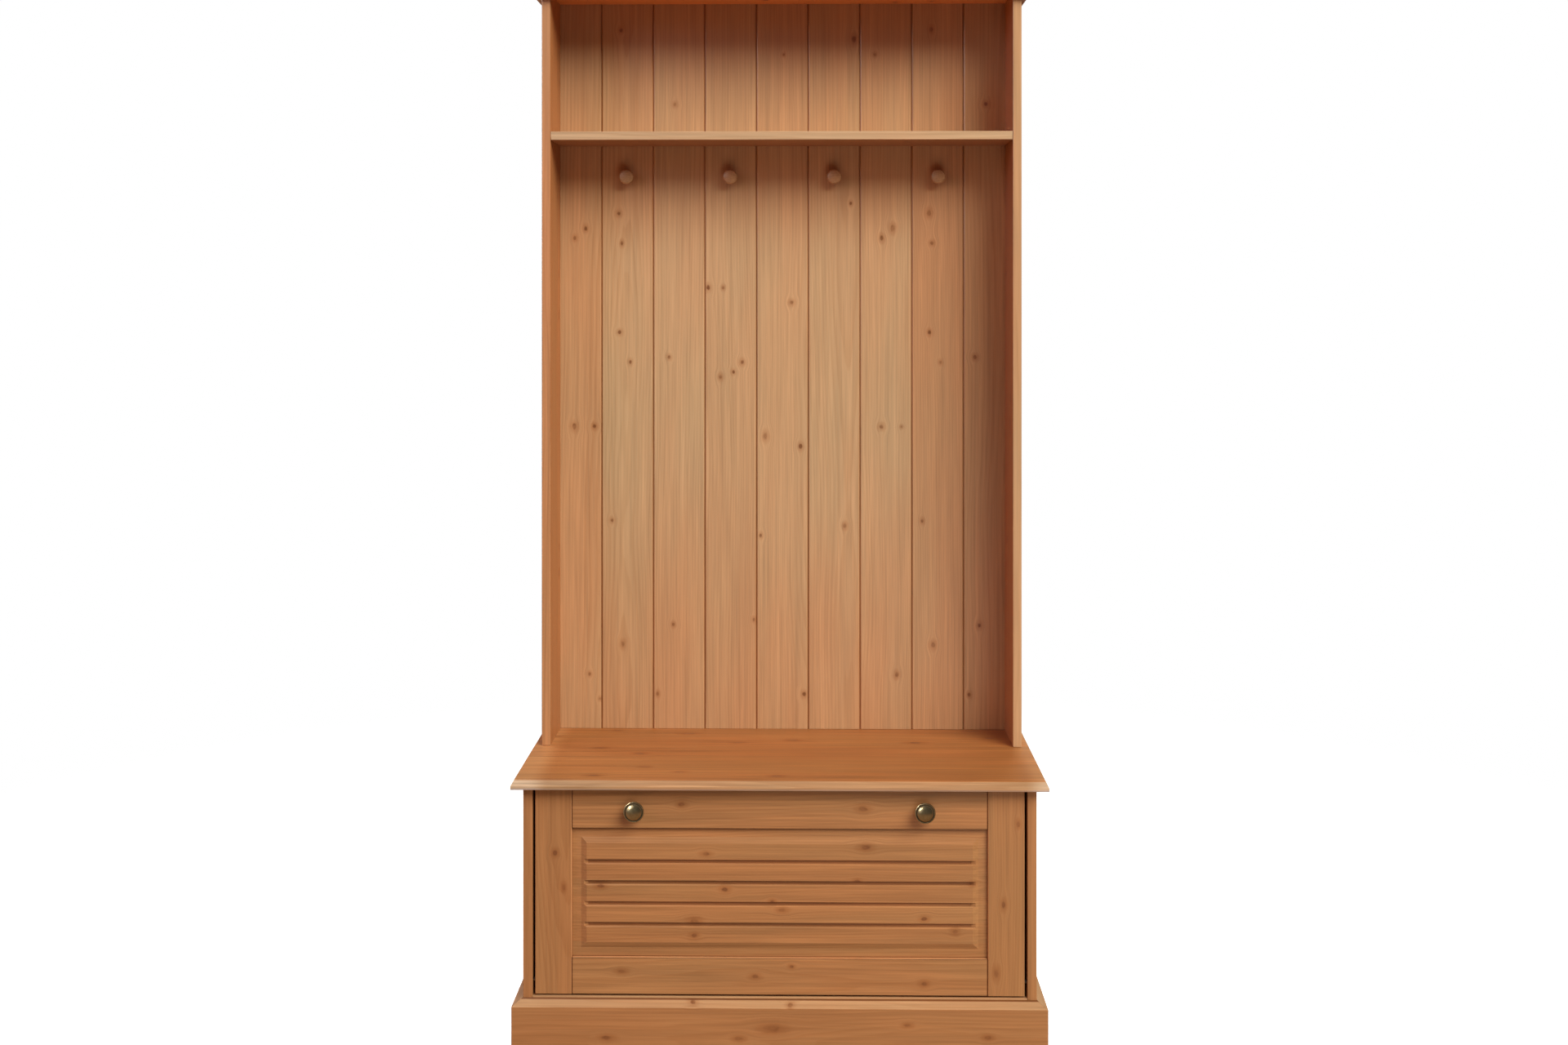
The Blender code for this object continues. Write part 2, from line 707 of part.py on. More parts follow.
def make_cornice():
    """Three cornice mouldings: a flat soffit and a fillet, then a flare to a flat band."""
    face_x = CORNICE_SOFFIT + CORNICE_FLARE
    section = [
        (0, 0), (CORNICE_SOFFIT, 0), (CORNICE_SOFFIT, CORNICE_FILLET),
        (face_x, CORNICE_FILLET + CORNICE_FLARE), (face_x, CORNICE_HEIGHT - CORNICE_CHAMFER),
        (face_x - CORNICE_CHAMFER, CORNICE_HEIGHT), (0, CORNICE_HEIGHT),
    ]
    add_mitred_set("cornice", section, OVERALL_HEIGHT - CORNICE_HEIGHT, UPPER_FRONT_Y)


# Flap

def make_stiles():
    """The flap's two uprights, grooved for the rails and the panel."""
    stiles = {}
    for word, side in SIDES.items():
        inner, outer = sorted((side * OPENING_X, side * FLAP_X))
        stiles[word] = add_board(
            f"flap_stile_{word}", (inner, FLAP_FRONT_Y, FLAP_BOTTOM_Z), (outer, FLAP_BACK_Y, FLAP_TOP_Z),
            STAINED_PINE, FLAP, soft_front=True,
        )
        groove_x = sorted((side * (OPENING_X - CUT_OVERRUN), side * (OPENING_X + FRAME_GROOVE_DEPTH)))
        groove = box_cutter(
            f"cut_stile_groove_{word}",
            (groove_x[0], FLAP_MIDDLE_Y - FRAME_GROOVE_WIDTH / 2, FLAP_BOTTOM_Z - CUT_OVERRUN),
            (groove_x[1], FLAP_MIDDLE_Y + FRAME_GROOVE_WIDTH / 2, FLAP_TOP_Z + CUT_OVERRUN),
        )
        cut(stiles[word], groove)
    return stiles


def rail_shoulders():
    """Cutters that leave a tongue, in the middle of the thickness, at each end of a rail."""
    tongue = FRAME_GROOVE_WIDTH / 2 - JOINT_GAP
    layers = {
        "front": (FLAP_FRONT_Y - CUT_OVERRUN, FLAP_MIDDLE_Y - tongue),
        "rear": (FLAP_MIDDLE_Y + tongue, FLAP_BACK_Y + CUT_OVERRUN),
    }
    cutters = []
    for word, side in SIDES.items():
        ends = sorted((side * (OPENING_X - JOINT_GAP), side * (FLAP_X + CUT_OVERRUN)))
        for layer, (low_y, high_y) in layers.items():
            cutters.append(
                box_cutter(
                    f"cut_rail_shoulder_{word}_{layer}",
                    (ends[0], low_y, FLAP_BOTTOM_Z - CUT_OVERRUN),
                    (ends[1], high_y, FLAP_TOP_Z + CUT_OVERRUN),
                )
            )
    return cutters


def make_rail(name, bottom, top, shoulders, groove_z):
    """A cross rail with a tongue at each end, grooved for the panel between two heights."""
    tongue_x = OPENING_X + FRAME_GROOVE_DEPTH - JOINT_GAP
    low = (-tongue_x, FLAP_FRONT_Y, bottom)
    high = (tongue_x, FLAP_BACK_Y, top)
    rail = add_board(name, low, high, STAINED_PINE, FLAP, soft_front=True)
    groove = box_cutter(
        f"cut_{name}_groove",
        (-tongue_x - CUT_OVERRUN, FLAP_MIDDLE_Y - FRAME_GROOVE_WIDTH / 2, groove_z[0]),
        (tongue_x + CUT_OVERRUN, FLAP_MIDDLE_Y + FRAME_GROOVE_WIDTH / 2, groove_z[1]),
    )
    cut(rail, *shoulders, groove)
    return rail


def make_panel():
    """The raised panel: a tongue all round, a margin, a sloping step, and a field cut into slats.

    Each groove has a flat floor between two steep walls that open a little towards the front.
    """
    tongue_half = FRAME_GROOVE_WIDTH / 2 - JOINT_GAP
    height = OPENING_TOP_Z - OPENING_BOTTOM_Z
    size = (2 * (OPENING_X + PANEL_TONGUE), 2 * tongue_half, height + 2 * PANEL_TONGUE)
    middle_z = (OPENING_BOTTOM_Z + OPENING_TOP_Z) / 2
    shape = box_shape(size)
    shape.faces.ensure_lookup_table()
    field = min(shape.faces, key=lambda face: face.calc_center_median().y)
    tongue_drop = FLAP_THICKNESS / 2 - tongue_half
    margin_rise = tongue_drop - PANEL_SETBACK - PANEL_STEP
    rises = (
        (PANEL_TONGUE, 0), (PANEL_MARGIN - PANEL_STEP_WIDTH, margin_rise), (PANEL_STEP_WIDTH, PANEL_STEP)
    )
    for inset, rise in rises:
        bmesh.ops.inset_individual(shape, faces=[field], thickness=inset, depth=rise, use_even_offset=True)
    panel = add_piece(
        "flap_panel", new_mesh("flap_panel", shape), STAINED_PINE, FLAP, (0, FLAP_MIDDLE_Y, middle_z)
    )
    field_y = FLAP_FRONT_Y + PANEL_SETBACK
    slat = (height - PANEL_MARGIN - SLAT_HEADROOM) / SLAT_COUNT
    flare = SLAT_GROOVE_DRAFT * CUT_OVERRUN / SLAT_GROOVE_DEPTH
    section = [
        (SLAT_GROOVE_DEPTH, -SLAT_GROOVE_DRAFT), (-CUT_OVERRUN, flare),
        (-CUT_OVERRUN, -SLAT_GROOVE_HEIGHT - flare),
        (SLAT_GROOVE_DEPTH, SLAT_GROOVE_DRAFT - SLAT_GROOVE_HEIGHT),
    ]
    run = 2 * (OPENING_X - PANEL_MARGIN + SLAT_GROOVE_RUNOUT)
    across = Matrix(((0, 0, 1), (1, 0, 0), (0, 1, 0))).to_4x4()
    for number in range(1, SLAT_COUNT):
        name = f"cut_slat_groove_{number}"
        groove = outline_shape(name, [section], run)
        bmesh.ops.transform(groove, matrix=across, verts=groove.verts)
        level = OPENING_BOTTOM_Z + PANEL_MARGIN + slat * number - SLAT_LIP_DROP
        cut(panel, add_cutter(name, new_mesh(name, groove), (0, field_y, level)))


def knob_profile():
    """Section of a knob: dome, ledge, rim, neck and foot, with a blind hole for its screw."""
    rim_top = KNOB_REACH - KNOB_DOME_HEIGHT
    rim_base = rim_top - KNOB_RIM
    dome = arc((0, rim_top), (KNOB_RADIUS - KNOB_LEDGE, KNOB_DOME_HEIGHT), pi / 2, 0)
    bead = KNOB_RIM / 2
    rim = arc((KNOB_RADIUS - bead, rim_top - bead), (bead, bead), pi / 2, -pi / 2)
    hole = SCREW_RADIUS + JOINT_GAP
    hole_top = SCREW_REACH + JOINT_GAP
    return [
        *[(max(radius, 0), height) for radius, height in dome[:-1]], (KNOB_RADIUS - KNOB_LEDGE, rim_top),
        *rim, (KNOB_NECK_RADIUS, rim_base - KNOB_BACK_TAPER),
        (KNOB_NECK_RADIUS, KNOB_FOOT_LENGTH + KNOB_FOOT_FLARE),
        (KNOB_FOOT_RADIUS, KNOB_FOOT_LENGTH), (KNOB_FOOT_RADIUS, JOINT_GAP),
        (hole, JOINT_GAP), (hole, hole_top), (0, hole_top),
    ]


def make_knobs(rail):
    """The two knobs, each held by a screw through the top rail."""
    screw_top = FLAP_THICKNESS + SCREW_REACH
    head_base = -JOINT_GAP - SCREW_HEAD_LENGTH
    screw = [
        (0, screw_top), (SCREW_RADIUS, screw_top), (SCREW_RADIUS, -JOINT_GAP),
        (SCREW_HEAD_RADIUS, -JOINT_GAP), (SCREW_HEAD_RADIUS, head_base), (0, head_base),
    ]
    for word, side in SIDES.items():
        x = side * KNOB_X
        add_turned(
            f"knob_{word}", knob_profile(), ANTIQUE_BRASS, FLAP, (x, FLAP_FRONT_Y, KNOB_Z), OUT_OF_FRONT
        )
        add_turned(
            f"knob_screw_{word}", screw, ZINC_STEEL, FLAP, (x, FLAP_BACK_Y, KNOB_Z), OUT_OF_FRONT
        )
        hole = rod_cutter(
            f"cut_knob_hole_{word}", SCREW_RADIUS + JOINT_GAP, FLAP_THICKNESS + 2 * CUT_OVERRUN,
            (x, FLAP_MIDDLE_Y, KNOB_Z), OUT_OF_FRONT,
        )
        cut(rail, hole)


def make_pivots(base_sides, stiles):
    """Pivot pins in the base sides, turning in bushes in the stiles."""
    in_side = SIDE_THICKNESS - PIN_COVER
    length = in_side + FLAP_SIDE_GAP + PIVOT_ENGAGEMENT
    bore = PIVOT_RADIUS + RUNNING_GAP
    outer = bore + BUSH_WALL
    half = BUSH_LENGTH / 2
    ring = [(outer, half), (outer, -half), (bore, -half), (bore, half)]
    for word, side in SIDES.items():
        pin_place = (side * (INNER_X + in_side - length / 2), PIVOT.y, PIVOT.z)
        add_rod(f"pivot_pin_{word}", PIVOT_RADIUS, length, ZINC_STEEL, STAND, pin_place, ALONG_X)
        pin_hole = rod_cutter(
            f"cut_pivot_hole_{word}", PIVOT_RADIUS + JOINT_GAP, length + 2 * JOINT_GAP, pin_place, ALONG_X
        )
        cut(base_sides[word], pin_hole)
        bush_place = (side * (FLAP_X - BUSH_LENGTH / 2), PIVOT.y, PIVOT.z)
        add_turned(f"pivot_bush_{word}", ring, NYLON, FLAP, bush_place, ALONG_X, ring=True)
        hole_length = BUSH_LENGTH + JOINT_GAP + CUT_OVERRUN
        hole_place = (side * (FLAP_X + CUT_OVERRUN - hole_length / 2), PIVOT.y, PIVOT.z)
        bush_hole = rod_cutter(
            f"cut_bush_hole_{word}", outer + JOINT_GAP, hole_length, hole_place, ALONG_X
        )
        cut(stiles[word], bush_hole)


def stop_slot():
    """Curved slot of a tray bracket, about the pivot: the stop pin runs in it from shut to open."""
    half_width = STOP_RADIUS + RUNNING_GAP
    shut, opened = STOP_ANGLE, STOP_ANGLE - FLAP_TRAVEL
    outer, inner = STOP_ORBIT + half_width, STOP_ORBIT - half_width
    ends = [(STOP_ORBIT * cos(turn), STOP_ORBIT * sin(turn)) for turn in (shut, opened)]
    return [
        *arc((0, 0), (outer, outer), opened, shut, SLOT_STEPS),
        *arc(ends[0], (half_width, half_width), shut, shut + pi)[1:-1],
        *arc((0, 0), (inner, inner), shut, opened, SLOT_STEPS),
        *arc(ends[1], (half_width, half_width), opened + pi, opened + 2 * pi)[1:-1],
    ]


def make_brackets(base_sides, stiles):
    """The tray's two cheeks, housed in the stiles, and the stop pins that run in their slots."""
    front, rear = BRACKET_FRONT_Y - PIVOT.y, BRACKET_REAR_Y - PIVOT.y
    bottom, top = BRACKET_BOTTOM_Z - PIVOT.z, BRACKET_TOP_Z - PIVOT.z
    outline = [(front, bottom), (rear, bottom), (rear, BRACKET_REAR_TOP_Z - PIVOT.z), (front, top)]
    across = Matrix(((0, 0, 1), (1, 0, 0), (0, 1, 0))).to_4x4()
    stop_place = (PIVOT.y + STOP_ORBIT * cos(STOP_ANGLE), PIVOT.z + STOP_ORBIT * sin(STOP_ANGLE))
    in_side = SIDE_THICKNESS - PIN_COVER
    stop_tip_x = BRACKET_INNER_X + STOP_END_COVER
    stop_length = INNER_X + in_side - stop_tip_x
    brackets = {}
    for word, side in SIDES.items():
        name = f"tray_bracket_{word}"
        shape = outline_shape(name, [outline, stop_slot()], BRACKET_THICKNESS)
        bmesh.ops.transform(shape, matrix=across, verts=shape.verts)
        middle_x = side * (BRACKET_INNER_X + BRACKET_OUTER_X) / 2
        place = (middle_x, PIVOT.y, PIVOT.z)
        brackets[word] = add_piece(name, new_mesh(name, shape), INNER_PINE, FLAP, place)
        half = BRACKET_THICKNESS / 2 + JOINT_GAP
        housing = box_cutter(
            f"cut_bracket_housing_{word}",
            (middle_x - half, FLAP_BACK_Y - BRACKET_HOUSING, BRACKET_BOTTOM_Z - JOINT_GAP),
            (middle_x + half, FLAP_BACK_Y + CUT_OVERRUN, BRACKET_TOP_Z + JOINT_GAP),
        )
        cut(stiles[word], housing)
        pin_place = (side * (stop_tip_x + stop_length / 2), *stop_place)
        add_rod(f"stop_pin_{word}", STOP_RADIUS, stop_length, ZINC_STEEL, STAND, pin_place, ALONG_X)
        pin_hole = rod_cutter(
            f"cut_stop_hole_{word}", STOP_RADIUS + JOINT_GAP, stop_length + 2 * JOINT_GAP, pin_place, ALONG_X
        )
        cut(base_sides[word], pin_hole)
    return brackets


def make_tray(brackets):
    """The tray's floor, its divider between two rows of shoes and its rear lip, housed in the brackets."""
    end_x = BRACKET_INNER_X + TRAY_HOUSING - JOINT_GAP
    front_y = FLAP_BACK_Y + JOINT_GAP
    rear_y = BRACKET_REAR_Y - TRAY_MARGIN
    divider_front = (front_y + rear_y) / 2 - TRAY_BOARD
    divider_rear = divider_front + TRAY_BOARD
    stand_z = TRAY_TOP_Z + JOINT_GAP
    boards = {
        "tray_floor": ((front_y, TRAY_FLOOR_Z), (rear_y, TRAY_TOP_Z)),
        "tray_divider": ((divider_front, stand_z), (divider_rear, stand_z + DIVIDER_HEIGHT)),
        "tray_lip": ((rear_y - TRAY_BOARD, stand_z), (rear_y, stand_z + LIP_HEIGHT)),
    }
    for name, (low, high) in boards.items():
        low, high = (-end_x, *low), (end_x, *high)
        add_board(name, low, high, INNER_PINE, FLAP)
        housing = box_cutter(f"cut_{name}_housing", *grown(low, high))
        for bracket in brackets.values():
            cut(bracket, housing)


def make_flap(base_sides):
    """The whole tip-out flap with its tray."""
    stiles = make_stiles()
    shoulders = rail_shoulders()
    make_rail(
        "flap_rail_bottom", FLAP_BOTTOM_Z, OPENING_BOTTOM_Z, shoulders,
        (OPENING_BOTTOM_Z - FRAME_GROOVE_DEPTH, OPENING_BOTTOM_Z + CUT_OVERRUN),
    )
    top_rail = make_rail(
        "flap_rail_top", OPENING_TOP_Z, FLAP_TOP_Z, shoulders,
        (OPENING_TOP_Z - CUT_OVERRUN, OPENING_TOP_Z + FRAME_GROOVE_DEPTH),
    )
    make_panel()
    make_knobs(top_rail)
    make_pivots(base_sides, stiles)
    make_tray(make_brackets(base_sides, stiles))


def make_stand():
    """The whole hall stand."""
    base_sides = make_base_sides()
    bench = make_bench_top()
    make_base_floor(base_sides)
    make_base_back()
    make_plinth()
    upper_sides = make_upper_sides()
    make_top_panel(upper_sides)
    make_hat_shelf(upper_sides)
    make_foot_dowels(upper_sides, bench)
    make_back_boards()
    make_cornice()
    make_flap(base_sides)


make_stand()
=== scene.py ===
"""Looks of a pine hall stand: a bench with a tip-out shoe flap under a boarded coat panel and a hat shelf."""

from __future__ import annotations

import logging
import math
import random
from abc import ABC, abstractmethod
from collections.abc import Callable, Iterator
from contextlib import contextmanager
from dataclasses import dataclass, field
from enum import Enum

import bmesh
import bpy
from mathutils import Matrix, Vector

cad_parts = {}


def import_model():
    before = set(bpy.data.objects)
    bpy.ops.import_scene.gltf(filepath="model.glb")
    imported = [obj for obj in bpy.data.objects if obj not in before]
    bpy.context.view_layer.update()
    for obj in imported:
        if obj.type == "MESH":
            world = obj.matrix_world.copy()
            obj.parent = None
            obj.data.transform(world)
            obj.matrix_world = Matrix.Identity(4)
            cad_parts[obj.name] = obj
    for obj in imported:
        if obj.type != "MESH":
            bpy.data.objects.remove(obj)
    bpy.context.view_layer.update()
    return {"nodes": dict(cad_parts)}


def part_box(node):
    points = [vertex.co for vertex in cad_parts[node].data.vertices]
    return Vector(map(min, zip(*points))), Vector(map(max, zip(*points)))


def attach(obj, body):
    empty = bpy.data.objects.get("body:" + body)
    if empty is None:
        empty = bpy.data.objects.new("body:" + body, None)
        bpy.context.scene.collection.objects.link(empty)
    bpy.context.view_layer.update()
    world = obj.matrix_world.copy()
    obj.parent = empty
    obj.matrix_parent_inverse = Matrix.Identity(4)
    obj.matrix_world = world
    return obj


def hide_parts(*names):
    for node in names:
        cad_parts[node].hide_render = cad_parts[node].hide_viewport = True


LOG = logging.getLogger("hall_stand")
MM = 0.001
SIDES = {"left": -1.0, "right": 1.0}
STAND = "stand"
FLAP = "flap"
FORWARD = Vector((0, -1, 0))
UPWARD = Vector((0, 0, 1))
SIDEWAYS = Vector((1, 0, 0))
STREWN_MARGIN = 30 * MM
STREWN_RADII = (3.5, 6.5)

Triple = tuple[float, float, float]
Pair = tuple[float, float]
Limits = tuple[tuple[str, float, float], ...]


# Shader wires

class Wire:
    """One output of a shader node; sums and products of wires add Math and Vector Math nodes."""

    def __init__(self, tree: ShaderTree, socket: bpy.types.NodeSocket) -> None:
        """Hold an output socket and the tree it is in."""
        self.tree = tree
        self.socket = socket

    @property
    def is_vector(self) -> bool:
        """Whether the wire carries a vector or a colour."""
        return self.socket.type in {"VECTOR", "RGBA"}

    def __add__(self, other: Term) -> Wire:
        """Wire + other."""
        return self.tree.calculate("ADD", self, other)

    def __radd__(self, other: Term) -> Wire:
        """Other + wire."""
        return self.tree.calculate("ADD", other, self)

    def __sub__(self, other: Term) -> Wire:
        """Wire - other."""
        return self.tree.calculate("SUBTRACT", self, other)

    def __rsub__(self, other: Term) -> Wire:
        """Other - wire."""
        return self.tree.calculate("SUBTRACT", other, self)

    def __mul__(self, other: Term) -> Wire:
        """Wire * other."""
        return self.tree.calculate("MULTIPLY", self, other)

    def __rmul__(self, other: Term) -> Wire:
        """Other * wire."""
        return self.tree.calculate("MULTIPLY", other, self)

    def __truediv__(self, other: Term) -> Wire:
        """Wire / other."""
        return self.tree.calculate("DIVIDE", self, other)

    def __rtruediv__(self, other: Term) -> Wire:
        """Other / wire."""
        return self.tree.calculate("DIVIDE", other, self)

    def __abs__(self) -> Wire:
        """The wire's size without its sign."""
        return self.tree.calculate("ABSOLUTE", self)

    def __floor__(self) -> Wire:
        """The wire rounded down."""
        return self.tree.calculate("FLOOR", self)


Term = Wire | float | Triple


class ShaderTree:
    """The node tree of a material or of the world."""

    def __init__(self, owner: bpy.types.Material | bpy.types.World) -> None:
        """Empty the owner's tree.

        Args:
            owner: The material or world whose nodes are made.
        """
        owner.use_nodes = True
        self.nodes = owner.node_tree.nodes
        self.links = owner.node_tree.links
        self.nodes.clear()

    def add(
        self,
        kind: str,
        settings: dict[str, object] | None = None,
        inputs: dict[int | str, object] | None = None,
        output: int | str = 0,
    ) -> Wire | None:
        """Add a node.

        Args:
            kind: The node's type.
            settings: The node's own properties, set first; "stops" holds a ramp's places and colours.
            inputs: Values or wires by socket name or number.
            output: The output that is handed back.

        Returns:
            The wire of that output, or None where the node has no output.
        """
        node = self.nodes.new(kind)
        for name, value in (settings or {}).items():
            if name == "stops":
                self._set_stops(node.color_ramp, value)
            else:
                setattr(node, name, value)
        for key, value in (inputs or {}).items():
            self._feed(node.inputs[key], value)
        return Wire(self, node.outputs[output]) if node.outputs else None

    def _set_stops(self, ramp: bpy.types.ColorRamp, stops: tuple[tuple[float, Triple], ...]) -> None:
        """Give a ramp its stops.

        Args:
            ramp: The ramp of a Color Ramp node.
            stops: Places and colours, in order.
        """
        while len(ramp.elements) < len(stops):
            ramp.elements.new(1.0)
        for element, (place, colour) in zip(ramp.elements, stops):
            element.position = place
            element.color = (*colour, 1.0)

    def _feed(self, socket: bpy.types.NodeSocket, value: object) -> None:
        """Link a wire to an input, or set the input's value.

        Args:
            socket: The input.
            value: A wire, a number, or three numbers.
        """
        if isinstance(value, Wire):
            self.links.new(value.socket, socket)
            return
        if socket.type in {"VECTOR", "RGBA"}:
            triple = tuple(value) if isinstance(value, (tuple, Vector)) else (value,) * 3
            socket.default_value = (*triple, 1.0) if socket.type == "RGBA" else triple
        else:
            socket.default_value = value

    def calculate(self, operation: str, *terms: Term) -> Wire:
        """Add a Math node, or a Vector Math node where a term is a vector.

        Args:
            operation: The node's operation.
            terms: Wires, numbers or triples.

        Returns:
            The result's wire.
        """
        spatial = any(term.is_vector if isinstance(term, Wire) else isinstance(term, tuple) for term in terms)
        kind = "ShaderNodeVectorMath" if spatial else "ShaderNodeMath"
        return self.add(kind, {"operation": operation}, dict(enumerate(terms)))

    def place(self) -> Wire:
        """The point on the piece, in metres."""
        return self.add("ShaderNodeTexCoord", output="Object")

    def axes(self, vector: Wire) -> dict[str, Wire]:
        """Split a vector.

        Args:
            vector: The wire to split.

        Returns:
            Its X, Y and Z wires by letter.
        """
        first = self.add("ShaderNodeSeparateXYZ", inputs={0: vector})
        outputs = first.socket.node.outputs
        return {letter: Wire(self, outputs[letter]) for letter in "XYZ"}

    def join(self, first: Term, second: Term, third: Term) -> Wire:
        """A vector of three values."""
        return self.add("ShaderNodeCombineXYZ", inputs={0: first, 1: second, 2: third})

    def length(self, vector: Wire) -> Wire:
        """A vector's length."""
        return self.add("ShaderNodeVectorMath", {"operation": "LENGTH"}, {0: vector}, "Value")

    def noise(self, vector: Wire, detail: float = 2.0, roughness: float = 0.5, output: int = 0) -> Wire:
        """Soft noise.

        Args:
            vector: The point, already scaled to the noise's grain.
            detail: How many finer layers are added.
            roughness: How strong the finer layers are.
            output: 0 for a value, 1 for a colour.

        Returns:
            The noise, about 0.5.
        """
        inputs = {"Vector": vector, "Scale": 1.0, "Detail": detail, "Roughness": roughness}
        return self.add("ShaderNodeTexNoise", {"noise_dimensions": "3D"}, inputs, output)

    def rise(self, value: Wire, low: float, high: float, start: float = 0.0, end: float = 1.0) -> Wire:
        """Go smoothly from start, at low, to end, at high."""
        inputs = {"Value": value, "From Min": low, "From Max": high, "To Min": start, "To Max": end}
        return self.add("ShaderNodeMapRange", {"interpolation_type": "SMOOTHSTEP"}, inputs)

    def blend(self, share: Term, first: Term, second: Term) -> Wire:
        """Mix two colours by a share from 0 to 1."""
        return self.add("ShaderNodeMix", {"data_type": "RGBA"}, {0: share, 6: first, 7: second}, 2)

    def bump(self, height: Wire, depth: float, strength: float) -> Wire:
        """A normal from a height between 0 and 1.

        Args:
            height: The relief.
            depth: What a height of 1 stands for, in metres.
            strength: How much of it is used.

        Returns:
            The normal's wire.
        """
        return self.add("ShaderNodeBump", inputs={"Strength": strength, "Distance": depth, "Height": height})

    def surface(self, **sockets: object) -> None:
        """End the tree in a Principled surface.

        Args:
            sockets: Values and wires by socket name, with _ for each space.
        """
        inputs = {name.replace("_", " "): value for name, value in sockets.items()}
        shader = self.add("ShaderNodeBsdfPrincipled", inputs=inputs)
        self.add("ShaderNodeOutputMaterial", inputs={"Surface": shader})


# Finishes

class Grain(Enum):
    """How the fibres lie in a piece: the axes across, through and along the grain."""

    UPRIGHT = "XYZ"
    LEVEL = "ZYX"
    SHELF = "YZX"
    SIDE = "YXZ"
    RETURN = "ZXY"
    TURNED = "XZY"

    @property
    def numbers(self) -> tuple[int, ...]:
        """The same three axes as places in a vector."""
        return tuple("XYZ".index(letter) for letter in self.value)


class Stain(Enum):
    """Colour of the pale wood between the year rings. Several colours are painted light or shade, as their
    comments say.
    """

    HONEY = (0.565, 0.353, 0.180)
    # Painted light and shade on the back boards: a paler colour for their lit middle, a redder one for the
    # shaded outer boards and foot, a deeper one for the shaded hat space.
    BLEACHED = (0.585, 0.388, 0.203)
    RUDDY = (0.554, 0.321, 0.155)
    FLUSHED = (0.462, 0.260, 0.130)
    # Painted highlights on front edges and arrises that face the light.
    SANDED = (0.620, 0.432, 0.245)
    TAN = (0.545, 0.270, 0.113)
    # Painted highlight on the bench's nose and the plinth's bevel, and painted shade on the pegs.
    WORN = (0.468, 0.278, 0.132)
    AMBER = (0.402, 0.195, 0.073)
    RUSSET = (0.445, 0.183, 0.062)
    BENCH = (0.390, 0.155, 0.043)
    # Painted highlight on the ends of the bench top.
    BENCH_END = (0.520, 0.252, 0.092)
    # Painted shade in the seams between the back boards.
    CREVICE = (0.440, 0.228, 0.098)
    # Painted shade in grooves and creases, and under the bench's nose.
    POOLED = (0.300, 0.130, 0.048)
    # Painted shadow in gaps and joints.
    SOAKED = (0.150, 0.046, 0.010)
    # Painted shade under the hat shelf.
    SOOTED = (0.400, 0.185, 0.080)
    PLAIN = (0.560, 0.330, 0.155)
    # Painted bounce light under the top panel.
    REDDENED = (0.780, 0.270, 0.070)


@dataclass(frozen=True)
class Knot:
    """A knot, placed in metres across and along the grain."""

    across: float
    along: float
    radius: float


@dataclass(frozen=True)
class Tint:
    """Another colour that sets in along an axis; the tints are painted light or shade: paler where an edge
    faces the light, darker in seams, grooves and gaps where shade falls.
    """

    axis: str
    start: float
    end: float
    stain: Stain
    limits: Limits = ()
    fade: float = 0.3 * MM


@dataclass(frozen=True)
class Finish(ABC):
    """A finish that is turned into one material."""

    name: str

    @abstractmethod
    def dress(self, tree: ShaderTree) -> None:
        """Make the finish's nodes in an empty tree."""

    def material(self) -> bpy.types.Material:
        """The finish as a new material."""
        material = bpy.data.materials.new(self.name)
        self.dress(ShaderTree(material))
        return material


